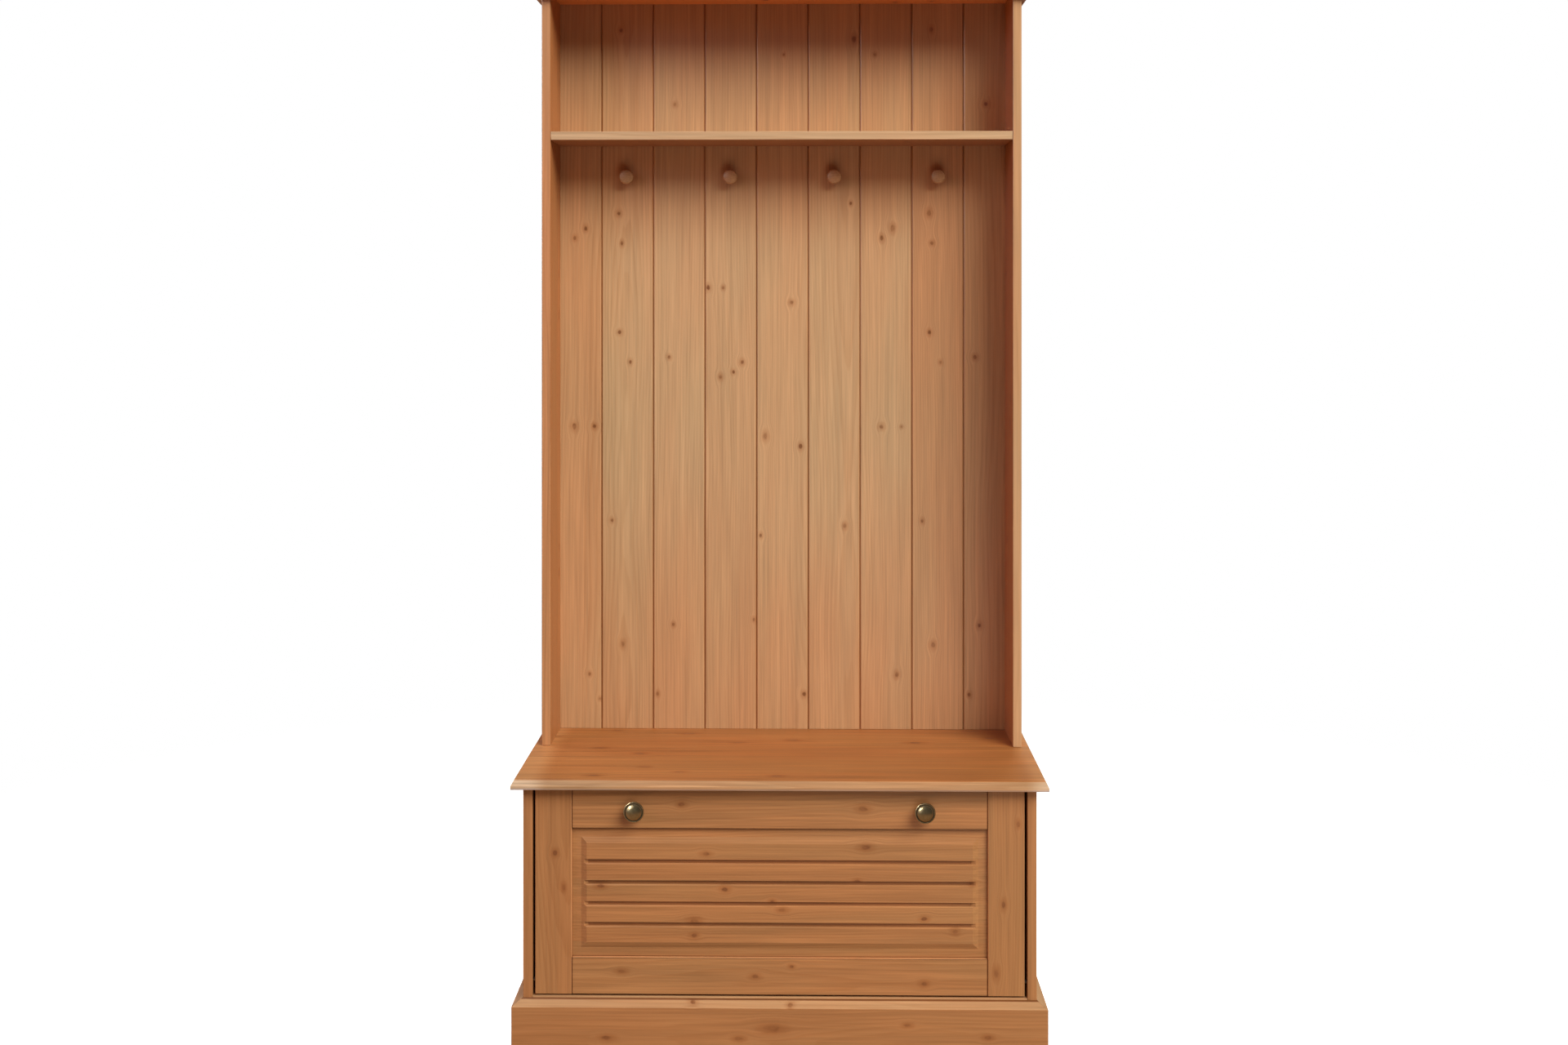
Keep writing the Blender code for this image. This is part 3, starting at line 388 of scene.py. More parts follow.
@dataclass(frozen=True)
class Pine(Finish):
    """Stained knotty pine: year rings round a pith line, fibre streaks, patches of colour and knots."""

    grain: Grain
    low: Vector
    high: Vector
    stain: Stain = Stain.HONEY
    knots: tuple[Knot, ...] = ()
    stave: float = 0.0
    stave_edge: float | None = None
    tints: tuple[Tint, ...] = ()
    # Painted shade round the foot of a peg.
    halo: Knot | None = None
    late_share: float = 0.32
    late_wood: Triple = (0.72, 0.58, 0.44)
    ring_spacing: Pair = (3.4 * MM, 5.2 * MM)
    wander: Triple = (0.05, 0.05, 0.0)
    wander_scale: Triple = (2.4, 2.4, 1.1)
    ripple: float = 5.5 * MM
    ripple_scale: Triple = (48.0, 48.0, 2.6)
    figure: float = 1.1
    streak_scale: Triple = (230.0, 230.0, 4.5)
    streak_contrast: float = 0.50
    band_scale: Triple = (62.0, 62.0, 2.2)
    band_contrast: float = 0.30
    fibre_scale: Triple = (1150.0, 1150.0, 20.0)
    fibre_contrast: float = 0.16
    patch_scale: Triple = (11.0, 11.0, 1.9)
    red_patch: Triple = (1.03, 0.95, 0.91)
    grey_patch: Triple = (0.98, 0.98, 0.97)
    knot_stretch: float = 1.25
    knot_rag_scale: Triple = (170.0, 60.0, 90.0)
    knot_vigour_scale: float = 31.0
    knot_surround: Triple = (0.74, 0.56, 0.42)
    knot_core: tuple[tuple[float, Triple], ...] = (
        (0.0, (0.230, 0.088, 0.030)), (0.55, (0.185, 0.064, 0.021)), (0.95, (0.150, 0.050, 0.017))
    )
    halo_shade: Triple = (0.62, 0.50, 0.42)
    halo_depth: Pair = (1 * MM, 4 * MM)
    roughness: float = 0.47
    coat: float = 0.10
    coat_roughness: float = 0.32
    relief_depth: float = 0.25 * MM
    relief_strength: float = 0.35

    def dress(self, tree: ShaderTree) -> None:
        """Make the wood's nodes.

        Args:
            tree: An empty tree.
        """
        draw = random.Random(self.name)
        axes = tree.axes(tree.place())
        across, through, along = (axes[letter] for letter in self.grain.value)
        grain, nearest = self._round_knots(tree, draw, tree.join(across, through, along))
        grain, tone = self._staves(tree, draw, grain, across)
        seed = (draw.uniform(-9, 9), draw.uniform(-9, 9), draw.uniform(-9, 9))
        late = self._year_rings(tree, draw, grain, seed)
        streak = tree.noise(grain * self.streak_scale + seed, 3.0, 0.6)
        fibre = tree.noise(grain * self.fibre_scale + seed)
        patch = tree.noise(grain * self.patch_scale + seed)
        band = tree.noise(grain * self.band_scale + seed)
        wood = self._colour(tree, late, streak, fibre, patch)
        wood = wood * (tone * (1.0 + self.band_contrast * self.figure * (band - 0.5)))
        wood = self._tinted(tree, axes, wood)
        face = tree.join(across, 0.0, along)
        if self.halo:
            wood = self._haloed(tree, face, through, wood)
        heart = 0.0
        if nearest is not None:
            vigour = tree.noise(face * self.knot_vigour_scale + seed)
            wood, heart = self._knot_colour(tree, wood, nearest, vigour)
        relief = 0.45 * late + 0.35 * fibre + 0.20 * streak
        tree.surface(
            Base_Color=wood,
            Roughness=self.roughness + 0.14 * (streak - 0.5) + 0.06 * (fibre - 0.5) - 0.10 * heart,
            Normal=tree.bump(relief, self.relief_depth, self.relief_strength),
            Coat_Weight=self.coat,
            Coat_Roughness=self.coat_roughness,
        )

    def _tinted(self, tree: ShaderTree, axes: dict[str, Wire], wood: Wire) -> Wire:
        """Let the tints set in, which paint light and shade.

        Args:
            tree: The tree.
            axes: Place on the X, Y and Z axes.
            wood: The wood's colour.

        Returns:
            The tinted colour.
        """
        for tint in self.tints:
            share = tree.rise(axes[tint.axis], tint.start, tint.end)
            for axis, low, high in tint.limits:
                share = share * tree.rise(axes[axis], low, low + tint.fade)
                share = share * tree.rise(axes[axis], high - tint.fade, high, 1.0, 0.0)
            change = tuple(new / old for new, old in zip(tint.stain.value, self.stain.value))
            wood = wood * tree.blend(share, (1.0, 1.0, 1.0), change)
        return wood

    def _haloed(self, tree: ShaderTree, face: Wire, through: Wire, wood: Wire) -> Wire:
        """Paint shade on the front of the wood round a peg.

        Args:
            tree: The tree.
            face: Place across and along the grain.
            through: Place through the piece.
            wood: The wood's colour.

        Returns:
            The darkened colour.
        """
        away = tree.length(face - (self.halo.across, 0.0, self.halo.along)) / self.halo.radius
        front = self.low[self.grain.numbers[1]]
        shallow, deep = self.halo_depth
        share = tree.rise(away, 0.7, 2.3, 0.55, 0.0)
        share = share * tree.rise(through, front + shallow, front + deep, 1.0, 0.0)
        return tree.blend(share, wood, wood * self.halo_shade)

    def _middle(self, number: int) -> float:
        """The middle of the piece on an axis, which is given as a place in a vector."""
        return (self.low[number] + self.high[number]) / 2

    def _staves(
        self, tree: ShaderTree, draw: random.Random, grain: Wire, across: Wire
    ) -> tuple[Wire, Wire | float]:
        """Shift the grain from stave to stave where the piece is glued up.

        Args:
            tree: The tree.
            draw: The piece's own random numbers.
            grain: The grain's point.
            across: Place across the grain.

        Returns:
            The grain's point, and the stave's tone.
        """
        if not self.stave:
            return grain, draw.uniform(0.96, 1.03)
        edge = self.stave_edge
        if edge is None:
            edge = self._middle(self.grain.numbers[0]) - self.stave / 2
        number = math.floor((across - edge) / self.stave)
        inputs = {"W": number + draw.uniform(0, 50)}
        chance = tree.add("ShaderNodeTexWhiteNoise", {"noise_dimensions": "1D"}, inputs, "Value")
        return grain + tree.join(0.0, 0.05 * chance, 3.0 * chance), 0.96 + 0.07 * chance

    def _round_knots(self, tree: ShaderTree, draw: random.Random, grain: Wire) -> tuple[Wire, Wire | None]:
        """Lead the grain round the knots.

        Args:
            tree: The tree.
            draw: The piece's own random numbers.
            grain: The grain's point.

        Returns:
            The bent grain, and the distance to the nearest knot in its radii.
        """
        nearest = None
        if not self.knots:
            return grain, nearest
        straight = grain
        ragged = tree.noise(straight * self.knot_rag_scale) - 0.5
        for knot in self.knots:
            away = straight - (knot.across, 0.0, knot.along)
            radius = knot.radius * draw.uniform(0.62, 0.95)
            stretch = radius * self.knot_stretch * draw.uniform(0.8, 1.3)
            reach = tree.length(away * (1 / radius, 0.0, 1 / stretch)) + ragged
            pull = tree.rise(reach, 0.8, 5.5, 0.80, 0.0)
            grain = grain - away * tree.join(pull, 0.0, 0.0)
            nearest = reach if nearest is None else tree.calculate("MINIMUM", nearest, reach)
        return grain, nearest

    def _year_rings(self, tree: ShaderTree, draw: random.Random, grain: Wire, seed: Triple) -> Wire:
        """The dark late wood of the year rings.

        Args:
            tree: The tree.
            draw: The piece's own random numbers.
            grain: The grain's point.
            seed: Shift of the noises.

        Returns:
            0 in the pale wood and up to 1 in the late wood.
        """
        across, through, _ = self.grain.numbers
        width = self.high[across] - self.low[across]
        pith = (
            self._middle(across) + draw.choice((-1, 1)) * draw.uniform(0.1, 1.3) * width,
            self._middle(through) + draw.choice((-1, 1)) * draw.uniform(0.04, 0.10),
        )
        lean = (draw.uniform(-0.012, 0.012), draw.uniform(-0.012, 0.012), 0.0)
        inputs = {"Vector": grain, "Location": (-pith[0], -pith[1], 0.0), "Rotation": lean}
        log = tree.add("ShaderNodeMapping", {"vector_type": "POINT"}, inputs)
        wander = (tree.noise(grain * self.wander_scale + seed, output=1) - 0.5) * self.wander
        ripple = (tree.noise(grain * self.ripple_scale + seed) - 0.5) * self.ripple
        spacing = draw.uniform(*self.ring_spacing)
        age = (tree.length((log + wander) * (1.0, 1.0, 0.0)) + ripple) / spacing
        year = math.floor(age)
        season = age - year
        inputs = {"W": year + draw.uniform(0, 50)}
        harvest = tree.add("ShaderNodeTexWhiteNoise", {"noise_dimensions": "1D"}, inputs, "Value")
        late = tree.rise(season, 0.25, 0.92) * tree.rise(season, 0.93, 1.0, 1.0, 0.0)
        return late * (0.3 + 0.7 * harvest)

    def _colour(self, tree: ShaderTree, late: Wire, streak: Wire, fibre: Wire, patch: Wire) -> Wire:
        """The wood's colour without its knots.

        Args:
            tree: The tree.
            late: Late wood of the rings.
            streak: Streaks along the grain.
            fibre: Single fibres.
            patch: Wide patches.

        Returns:
            The colour's wire.
        """
        pale = self.stain.value
        dark = tuple(part * share for part, share in zip(pale, self.late_wood))
        wood = tree.blend(late * self.late_share, pale, dark)
        streaked = 1.0 + self.streak_contrast * self.figure * (streak - 0.5)
        wood = wood * (streaked * (1.0 + self.fibre_contrast * (fibre - 0.5)))
        return tree.blend(tree.rise(patch, 0.34, 0.66), wood * self.red_patch, wood * self.grey_patch)

    def _knot_colour(self, tree: ShaderTree, wood: Wire, nearest: Wire, vigour: Wire) -> tuple[Wire, Wire]:
        """Put the knots and their darker surrounds into the wood.

        Args:
            tree: The tree.
            wood: The wood's colour.
            nearest: Distance to the nearest knot in its radii.
            vigour: A wide noise that says how dark the knots are thereabouts.

        Returns:
            The colour, and how far a point is inside a knot.
        """
        surround = tree.rise(nearest, 0.9, 3.0, 0.50, 0.0)
        wood = tree.blend(surround, wood, wood * self.knot_surround)
        heart = tree.rise(nearest, 0.40, 1.25, 1.0, 0.0)
        core = tree.add("ShaderNodeValToRGB", {"stops": self.knot_core}, {"Fac": nearest})
        dark = tree.rise(vigour, 0.38, 0.60, 0.45, 1.0)
        return tree.blend(heart * dark * 0.95, wood, core), heart


@dataclass(frozen=True)
class AntiqueBrass(Finish):
    """Darkened brass, left dark in the groove of the knob and rubbed bright on its rim."""

    axis_x: float
    axis_z: float
    groove: float
    rim: float
    patina: Triple = (0.340, 0.262, 0.135)
    rubbed: Triple = (0.600, 0.470, 0.280)
    soot: Triple = (0.030, 0.019, 0.009)

    def dress(self, tree: ShaderTree) -> None:
        """Make the brass nodes.

        Args:
            tree: An empty tree.
        """
        place = tree.place()
        axes = tree.axes(place)
        radius = tree.length(tree.join(abs(axes["X"]) - self.axis_x, axes["Z"] - self.axis_z, 0.0))
        mottle = tree.noise(place * 210.0, 4.0, 0.6)
        fine = tree.noise(place * 1500.0, 2.0)
        worn = tree.rise(radius + 0.004 * (mottle - 0.5), self.groove, self.rim)
        rubbed = tree.rise(mottle, 0.35, 0.75, 0.12, 0.42) + 0.45 * worn
        metal = tree.blend(rubbed, self.patina, self.rubbed)
        dirt = tree.rise(abs(radius - self.groove), 0.2 * MM, 1.6 * MM, 0.85, 0.0)
        metal = tree.blend(dirt, metal, self.soot)
        tree.surface(
            Base_Color=metal,
            Metallic=1.0 - 0.6 * dirt,
            Roughness=0.28 + 0.16 * mottle + 0.06 * fine + 0.2 * dirt,
            Normal=tree.bump(mottle, 0.1 * MM, 0.12),
        )


@dataclass(frozen=True)
class ZincSteel(Finish):
    """Zinc-plated steel with fine turning marks."""

    pale: Triple = (0.60, 0.60, 0.61)
    dull: Triple = (0.36, 0.36, 0.37)

    def dress(self, tree: ShaderTree) -> None:
        """Make the steel nodes.

        Args:
            tree: An empty tree.
        """
        place = tree.place()
        bloom = tree.noise(place * 320.0, 3.0, 0.6)
        marks = tree.noise(place * (6000.0, 400.0, 400.0), 1.0)
        tree.surface(
            Base_Color=tree.blend(tree.rise(bloom, 0.3, 0.75), self.pale, self.dull),
            Metallic=1.0,
            Roughness=0.28 + 0.18 * bloom + 0.08 * marks,
            Normal=tree.bump(marks, 0.05 * MM, 0.15),
        )


@dataclass(frozen=True)
class Nylon(Finish):
    """Natural nylon, a little cloudy."""

    clear: Triple = (0.76, 0.73, 0.65)
    cloudy: Triple = (0.66, 0.62, 0.53)

    def dress(self, tree: ShaderTree) -> None:
        """Make the nylon nodes.

        Args:
            tree: An empty tree.
        """
        cloud = tree.noise(tree.place() * 180.0, 3.0)
        tree.surface(
            Base_Color=tree.blend(tree.rise(cloud, 0.3, 0.7), self.clear, self.cloudy),
            Roughness=0.36 + 0.14 * cloud,
            Normal=tree.bump(cloud, 0.05 * MM, 0.2),
        )


@dataclass(frozen=True)
class Beech(Finish):
    """Bare beech dowel with its short dark flecks."""

    pale: Triple = (0.60, 0.40, 0.23)
    fleck: Triple = (0.42, 0.24, 0.12)

    def dress(self, tree: ShaderTree) -> None:
        """Make the beech nodes.

        Args:
            tree: An empty tree.
        """
        flecks = tree.noise(tree.place() * (900.0, 900.0, 220.0), 2.0)
        tree.surface(
            Base_Color=tree.blend(tree.rise(flecks, 0.52, 0.70), self.pale, self.fleck),
            Roughness=0.58 + 0.1 * flecks,
            Normal=tree.bump(flecks, 0.1 * MM, 0.2),
        )


@dataclass(frozen=True)
class StudioFloor(Finish):
    """Pale painted floor that runs out into the white surround."""

    paint: Triple = (0.82, 0.82, 0.82)
    scuffed: Triple = (0.79, 0.79, 0.79)
    carpet: Triple = (0.32, 0.22, 0.14)
    glow: float = 0.92
    near: float = 0.9
    far: float = 2.6

    def dress(self, tree: ShaderTree) -> None:
        """Make the floor's nodes.

        Args:
            tree: An empty tree.
        """
        place = tree.place()
        cloud = tree.noise(place * 1.7, 3.0)
        seen = tree.add("ShaderNodeBsdfPrincipled", inputs={
            "Base Color": tree.blend(cloud, self.paint, self.scuffed),
            "Roughness": 0.85 + 0.1 * cloud,
            "Emission Color": (1.0, 1.0, 1.0),
            "Emission Strength": self.glow,
        })
        lighting = tree.add("ShaderNodeBsdfDiffuse", inputs={"Color": self.carpet})
        camera = tree.add("ShaderNodeLightPath", output="Is Camera Ray")
        floor = tree.add("ShaderNodeMixShader", inputs={0: camera, 1: lighting, 2: seen})
        edge = tree.rise(tree.length(place), self.near, self.far)
        clear = tree.add("ShaderNodeBsdfTransparent")
        both = tree.add("ShaderNodeMixShader", inputs={0: edge, 1: floor, 2: clear})
        tree.add("ShaderNodeOutputMaterial", inputs={"Surface": both})


# Shaping

class Workpiece:
    """A mesh that is shaped in edit mode and then put on the stand."""

    made: list[str] = []
    merge_distance: float = 0.01 * MM
    turned_merge_distance: float = 0.02 * MM
    flat_angle: float = 1.0

    def __init__(self, piece: bpy.types.Object) -> None:
        """Take an object to work on.

        Args:
            piece: The object.
        """
        self.piece = piece

    @classmethod
    def of_mesh(cls, name: str, mesh: bpy.types.Mesh) -> Workpiece:
        """Put a mesh into the scene.

        Args:
            name: The new piece's name.
            mesh: A mesh that no other piece uses.

        Returns:
            The piece.
        """
        mesh.name = name
        piece = bpy.data.objects.new(name, mesh)
        bpy.context.scene.collection.objects.link(piece)
        return cls(piece)

    @classmethod
    def just_added(cls, name: str) -> Workpiece:
        """Take the primitive that was just added, with its place and scale put into its mesh.

        Args:
            name: The new piece's name.

        Returns:
            The piece.
        """
        bpy.ops.object.transform_apply(location=True, rotation=True, scale=True)
        piece = bpy.context.object
        piece.name = piece.data.name = name
        return cls(piece)

    @classmethod
    def from_node(cls, name: str, node: str) -> Workpiece:
        """Copy a CAD node as a merged mesh of whole faces.

        Args:
            name: The new piece's name.
            node: The CAD node.

        Returns:
            The copy.
        """
        mesh = bpy.data.objects[node].data.copy()
        mesh.materials.clear()
        work = cls.of_mesh(name, mesh)
        with work.shaping():
            bpy.ops.mesh.select_all(action="SELECT")
            bpy.ops.mesh.remove_doubles(threshold=cls.merge_distance)
            bpy.ops.mesh.dissolve_limited(angle_limit=math.radians(cls.flat_angle))
        return work

    @classmethod
    def block(cls, name: str, low: Vector, high: Vector) -> Workpiece:
        """A block between two corners.

        Args:
            name: The block's name.
            low: Its lowest corner.
            high: Its highest corner.

        Returns:
            The block.
        """
        bpy.ops.object.select_all(action="DESELECT")
        bpy.ops.mesh.primitive_cube_add(size=1.0, location=(low + high) / 2, scale=high - low)
        return cls.just_added(name)

    @classmethod
    def turned(
        cls, name: str, section: list[Pair], centre: Vector, outward: Vector, steps: int = 48
    ) -> Workpiece:
        """Turn a section round an axis.

        Args:
            name: The piece's name.
            section: Radius and height of each point, from one end of the axis to the other.
            centre: The axis point at height 0.
            outward: The axis' direction.
            steps: Sides of the turned form.

        Returns:
            The closed piece.
        """
        radial = SIDEWAYS if abs(outward.z) > 0.5 else UPWARD
        points = [centre + outward * height + radial * radius for radius, height in section]
        bpy.ops.object.select_all(action="DESELECT")
        bpy.ops.mesh.primitive_plane_add(size=1 * MM, location=points[0])
        work = cls.just_added(name)
        with work.shaping():
            bpy.ops.mesh.select_all(action="SELECT")
            bpy.ops.mesh.merge(type="CENTER")
            for here, there in zip(points, points[1:]):
                bpy.ops.mesh.extrude_vertices_move(TRANSFORM_OT_translate={"value": there - here})
            bpy.ops.mesh.select_all(action="SELECT")
            bpy.ops.mesh.spin(steps=steps, angle=math.tau, center=centre, axis=outward)
            bpy.ops.mesh.select_all(action="SELECT")
            bpy.ops.mesh.remove_doubles(threshold=cls.turned_merge_distance)
            bpy.ops.mesh.normals_make_consistent(inside=False)
        return work

    @contextmanager
    def shaping(self) -> Iterator[None]:
        """Hold the mesh in edit mode with nothing selected."""
        self.activate()
        bpy.ops.object.mode_set(mode="EDIT")
        bpy.ops.mesh.select_mode(type="VERT")
        bpy.ops.mesh.select_all(action="DESELECT")
        yield
        bpy.ops.object.mode_set(mode="OBJECT")

    def activate(self) -> None:
        """Select this piece alone."""
        bpy.ops.object.select_all(action="DESELECT")
        self.piece.select_set(True)
        bpy.context.view_layer.objects.active = self.piece

    def choose_edges(self, test: Callable[[bmesh.types.BMEdge], bool]) -> int:
        """Select edges in edit mode.

        Args:
            test: Says whether an edge is wanted.

        Returns:
            How many were selected.
        """
        bpy.ops.mesh.select_mode(type="EDGE")
        bpy.ops.mesh.select_all(action="DESELECT")
        shape = bmesh.from_edit_mesh(self.piece.data)
        wanted = [edge for edge in shape.edges if test(edge)]
        for edge in wanted:
            edge.select_set(True)
        bmesh.update_edit_mesh(self.piece.data)
        return len(wanted)

    def ease(self, width: float, segments: int = 2, sharpest: float = 40.0, shortest: float = 9 * MM) -> None:
        """Round the sharp outer edges a little.

        Args:
            width: Width of the rounding.
            segments: Its facets.
            sharpest: Turn in degrees from which an edge counts as sharp.
            shortest: Shorter edges, such as the rims of holes, are left.
        """
        limit = math.radians(sharpest)

        def is_sharp(edge: bmesh.types.BMEdge) -> bool:
            """Whether the edge is an outer corner worth rounding."""
            return (
                len(edge.link_faces) == 2 and edge.is_convex and edge.calc_length() > shortest
                and edge.calc_face_angle() > limit
            )

        with self.shaping():
            if self.choose_edges(is_sharp):
                bpy.ops.mesh.bevel(
                    offset=width, offset_type="WIDTH", segments=segments, affect="EDGES", clamp_overlap=False
                )

    def slice(self, point: Vector, outward: Vector) -> None:
        """Plane away what lies beyond a plane.

        Args:
            point: A point of the plane.
            outward: The plane's normal, towards the waste.
        """
        with self.shaping():
            bpy.ops.mesh.select_all(action="SELECT")
            bpy.ops.mesh.bisect(
                plane_co=point, plane_no=outward.normalized(), use_fill=True, clear_outer=True
            )

    def move(self, test: Callable[[Vector], bool], shift: Vector) -> None:
        """Move the corners that pass a test.

        Args:
            test: Says whether a corner is wanted, by its place.
            shift: How far it goes.
        """
        with self.shaping():
            shape = bmesh.from_edit_mesh(self.piece.data)
            for corner in shape.verts:
                corner.select_set(test(corner.co))
            bmesh.update_edit_mesh(self.piece.data)
            bpy.ops.transform.translate(value=shift)

    def inset(self, outward: Vector, steps: list[Pair]) -> None:
        """Inset the outermost face on one side again and again.

        Args:
            outward: The side's direction.
            steps: Width and rise of each inset.
        """
        with self.shaping():
            bpy.ops.mesh.select_mode(type="FACE")
            shape = bmesh.from_edit_mesh(self.piece.data)
            face = max(shape.faces, key=lambda face: face.calc_center_median().dot(outward))
            face.select_set(True)
            bmesh.update_edit_mesh(self.piece.data)
            for width, rise in steps:
                bpy.ops.mesh.inset(thickness=width, depth=rise, use_even_offset=True)

    def score(self, point: Vector, normal: Vector) -> None:
        """Draw a line round the piece where a plane cuts it.

        Args:
            point: A point of the plane.
            normal: The plane's normal.
        """
        with self.shaping():
            bpy.ops.mesh.select_all(action="SELECT")
            bpy.ops.mesh.bisect(plane_co=point, plane_no=normal)

    def apply(self, kind: str, **settings: object) -> None:
        """Add a modifier and apply it.

        Args:
            kind: The modifier's type.
            settings: Its properties.
        """
        modifier = self.piece.modifiers.new(kind, kind)
        for name, value in settings.items():
            setattr(modifier, name, value)
        self.activate()
        bpy.ops.object.modifier_apply(modifier=modifier.name)

    def cut(self, *cutters: Workpiece) -> None:
        """Take cutters out of the piece and throw them away.

        Args:
            cutters: The shapes to take out.
        """
        for cutter in cutters:
            self.apply("BOOLEAN", operation="DIFFERENCE", solver="EXACT", object=cutter.piece)
            mesh = cutter.piece.data
            bpy.data.objects.remove(cutter.piece)
            bpy.data.meshes.remove(mesh)

    def copy_to(self, name: str, shift: Vector) -> Workpiece:
        """Copy the piece with a mesh of its own.

        Args:
            name: The copy's name.
            shift: How far the copy is moved.

        Returns:
            The copy.
        """
        mesh = self.piece.data.copy()
        mesh.transform(Matrix.Translation(shift))
        return Workpiece.of_mesh(name, mesh)

    def smooth(self, angle: float = 35.0) -> None:
        """Shade smooth over gentle edges, with the large faces kept flat.

        Args:
            angle: Turn in degrees up to which an edge is smooth.
        """
        self.activate()
        bpy.ops.object.shade_smooth_by_angle(angle=math.radians(angle))
        self.apply("WEIGHTED_NORMAL", keep_sharp=True, weight=100)

    def deliver(self, body: str, slot: str, finish: bpy.types.Material, node: str) -> None:
        """Dress the piece and put it on the stand.

        Args:
            body: The body it moves with.
            slot: The record's material slot; not used.
            finish: Its material.
            node: The CAD node it stands for.
        """
        self.piece.data.materials.clear()
        self.piece.data.materials.append(finish)
        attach(self.piece, body)
        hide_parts(node)
        Workpiece.made.append(self.piece.name)
        LOG.info("%s: %d faces, on %s", self.piece.name, len(self.piece.data.polygons), body)


def arc(middle: Pair, radii: Pair, start: float, end: float, steps: int = 8) -> list[Pair]:
    """Points on an arc of a section.

    Args:
        middle: Radius and height of the arc's middle.
        radii: The arc's two half-axes.
        start: First angle, in degrees from outward.
        end: Last angle.
        steps: Number of parts.

    Returns:
        Radius and height of each point.
    """
    turns = [math.radians(start + (end - start) * number / steps) for number in range(steps + 1)]
    return [
        (middle[0] + radii[0] * math.cos(turn), middle[1] + radii[1] * math.sin(turn)) for turn in turns
    ]


def scattered(name: str, low: Vector, high: Vector, grain: Grain, count: int) -> tuple[Knot, ...]:
    """Knots strewn over a piece that the photograph doesn't show closely.

    Args:
        name: The piece's name, which fixes the places.
        low: The piece's lowest corner.
        high: Its highest corner.
        grain: How its fibres lie.
        count: How many knots.

    Returns:
        The knots.
    """
    draw = random.Random(f"{name} knots")
    across, _, along = grain.numbers
    margin = min(STREWN_MARGIN, 0.15 * (high[across] - low[across]))
    return tuple(
        Knot(
            draw.uniform(low[across] + margin, high[across] - margin),
            draw.uniform(low[along] + margin, high[along] - margin),
            draw.uniform(*STREWN_RADII) * MM,
        )
        for _ in range(count)
    )


def knots_at(places: tuple[Triple, ...], grain: Grain) -> tuple[Knot, ...]:
    """Knots where the photograph shows them on a front.

    Args:
        places: X, Z and radius of each knot in millimetres.
        grain: How the fibres lie, level or upright.

    Returns:
        The knots.
    """
    if grain is Grain.LEVEL:
        return tuple(Knot(z * MM, x * MM, radius * MM) for x, z, radius in places)
    return tuple(Knot(x * MM, z * MM, radius * MM) for x, z, radius in places)


def middle_of(node: str) -> Vector:
    """The middle of a CAD node's box."""
    low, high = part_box(node)
    return (low + high) / 2


def near_face(node: str, face: str, start: float, end: float, stain: Stain, limits: Limits = ()) -> Tint:
    """A tint that sets in near one face of a CAD node.

    Args:
        node: The node.
        face: The face's sign and axis, such as "-Y" for the front.
        start: Depth below the face where the tint begins; less than 0 is outside.
        end: Depth where it has set in.
        stain: Its colour.
        limits: Stretches of the axes that it stays in.

    Returns:
        The tint.
    """
    low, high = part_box(node)
    sign, axis = face
    number = "XYZ".index(axis)
    level, inward = (low[number], 1.0) if sign == "-" else (high[number], -1.0)
    return Tint(axis, level + inward * start, level + inward * end, stain, limits)


def front_skin(node: str, outside: float = 1 * MM, depth: float = 6 * MM) -> Limits:
    """Limits that keep a tint at the front of a CAD node.

    Args:
        node: The node.
        outside: Room in front of it.
        depth: How deep the tint may go.

    Returns:
        The limits.
    """
    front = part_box(node)[0].y
    return (("Y", front - outside, front + depth),)


@dataclass
class Joinery:
    """Pine pieces that keep a CAD node's joints and get eased edges and a wood finish."""

    body: str = STAND
    slot: str = "stained_pine"
    arris: float = 0.7 * MM

    def board(
        self,
        node: str,
        grain: Grain,
        knots: tuple[Knot, ...] = (),
        strewn: int = 0,
        work: Workpiece | None = None,
        arris: float | None = None,
        crease: float = 35.0,
        **looks: object,
    ) -> None:
        """Make one wooden piece for its node.

        Args:
            node: The CAD node.
            grain: How its fibres lie.
            knots: Knots given one by one.
            strewn: Further knots placed by chance.
            work: The shaped piece, if it isn't a copy of the node.
            arris: Width of the eased edges, if it isn't the usual one.
            crease: Turn in degrees from which an edge is shaded sharp.
            looks: Other fields of the pine finish.
        """
        low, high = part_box(node)
        work = work or Workpiece.from_node(f"{node}_pine", node)
        work.ease(arris or self.arris)
        work.smooth(crease)
        knots += scattered(node, low, high, grain, strewn)
        finish = Pine(f"pine {node}", grain, low, high, knots=knots, **looks)
        work.deliver(self.body, self.slot, finish.material(), node)


# Coat panel

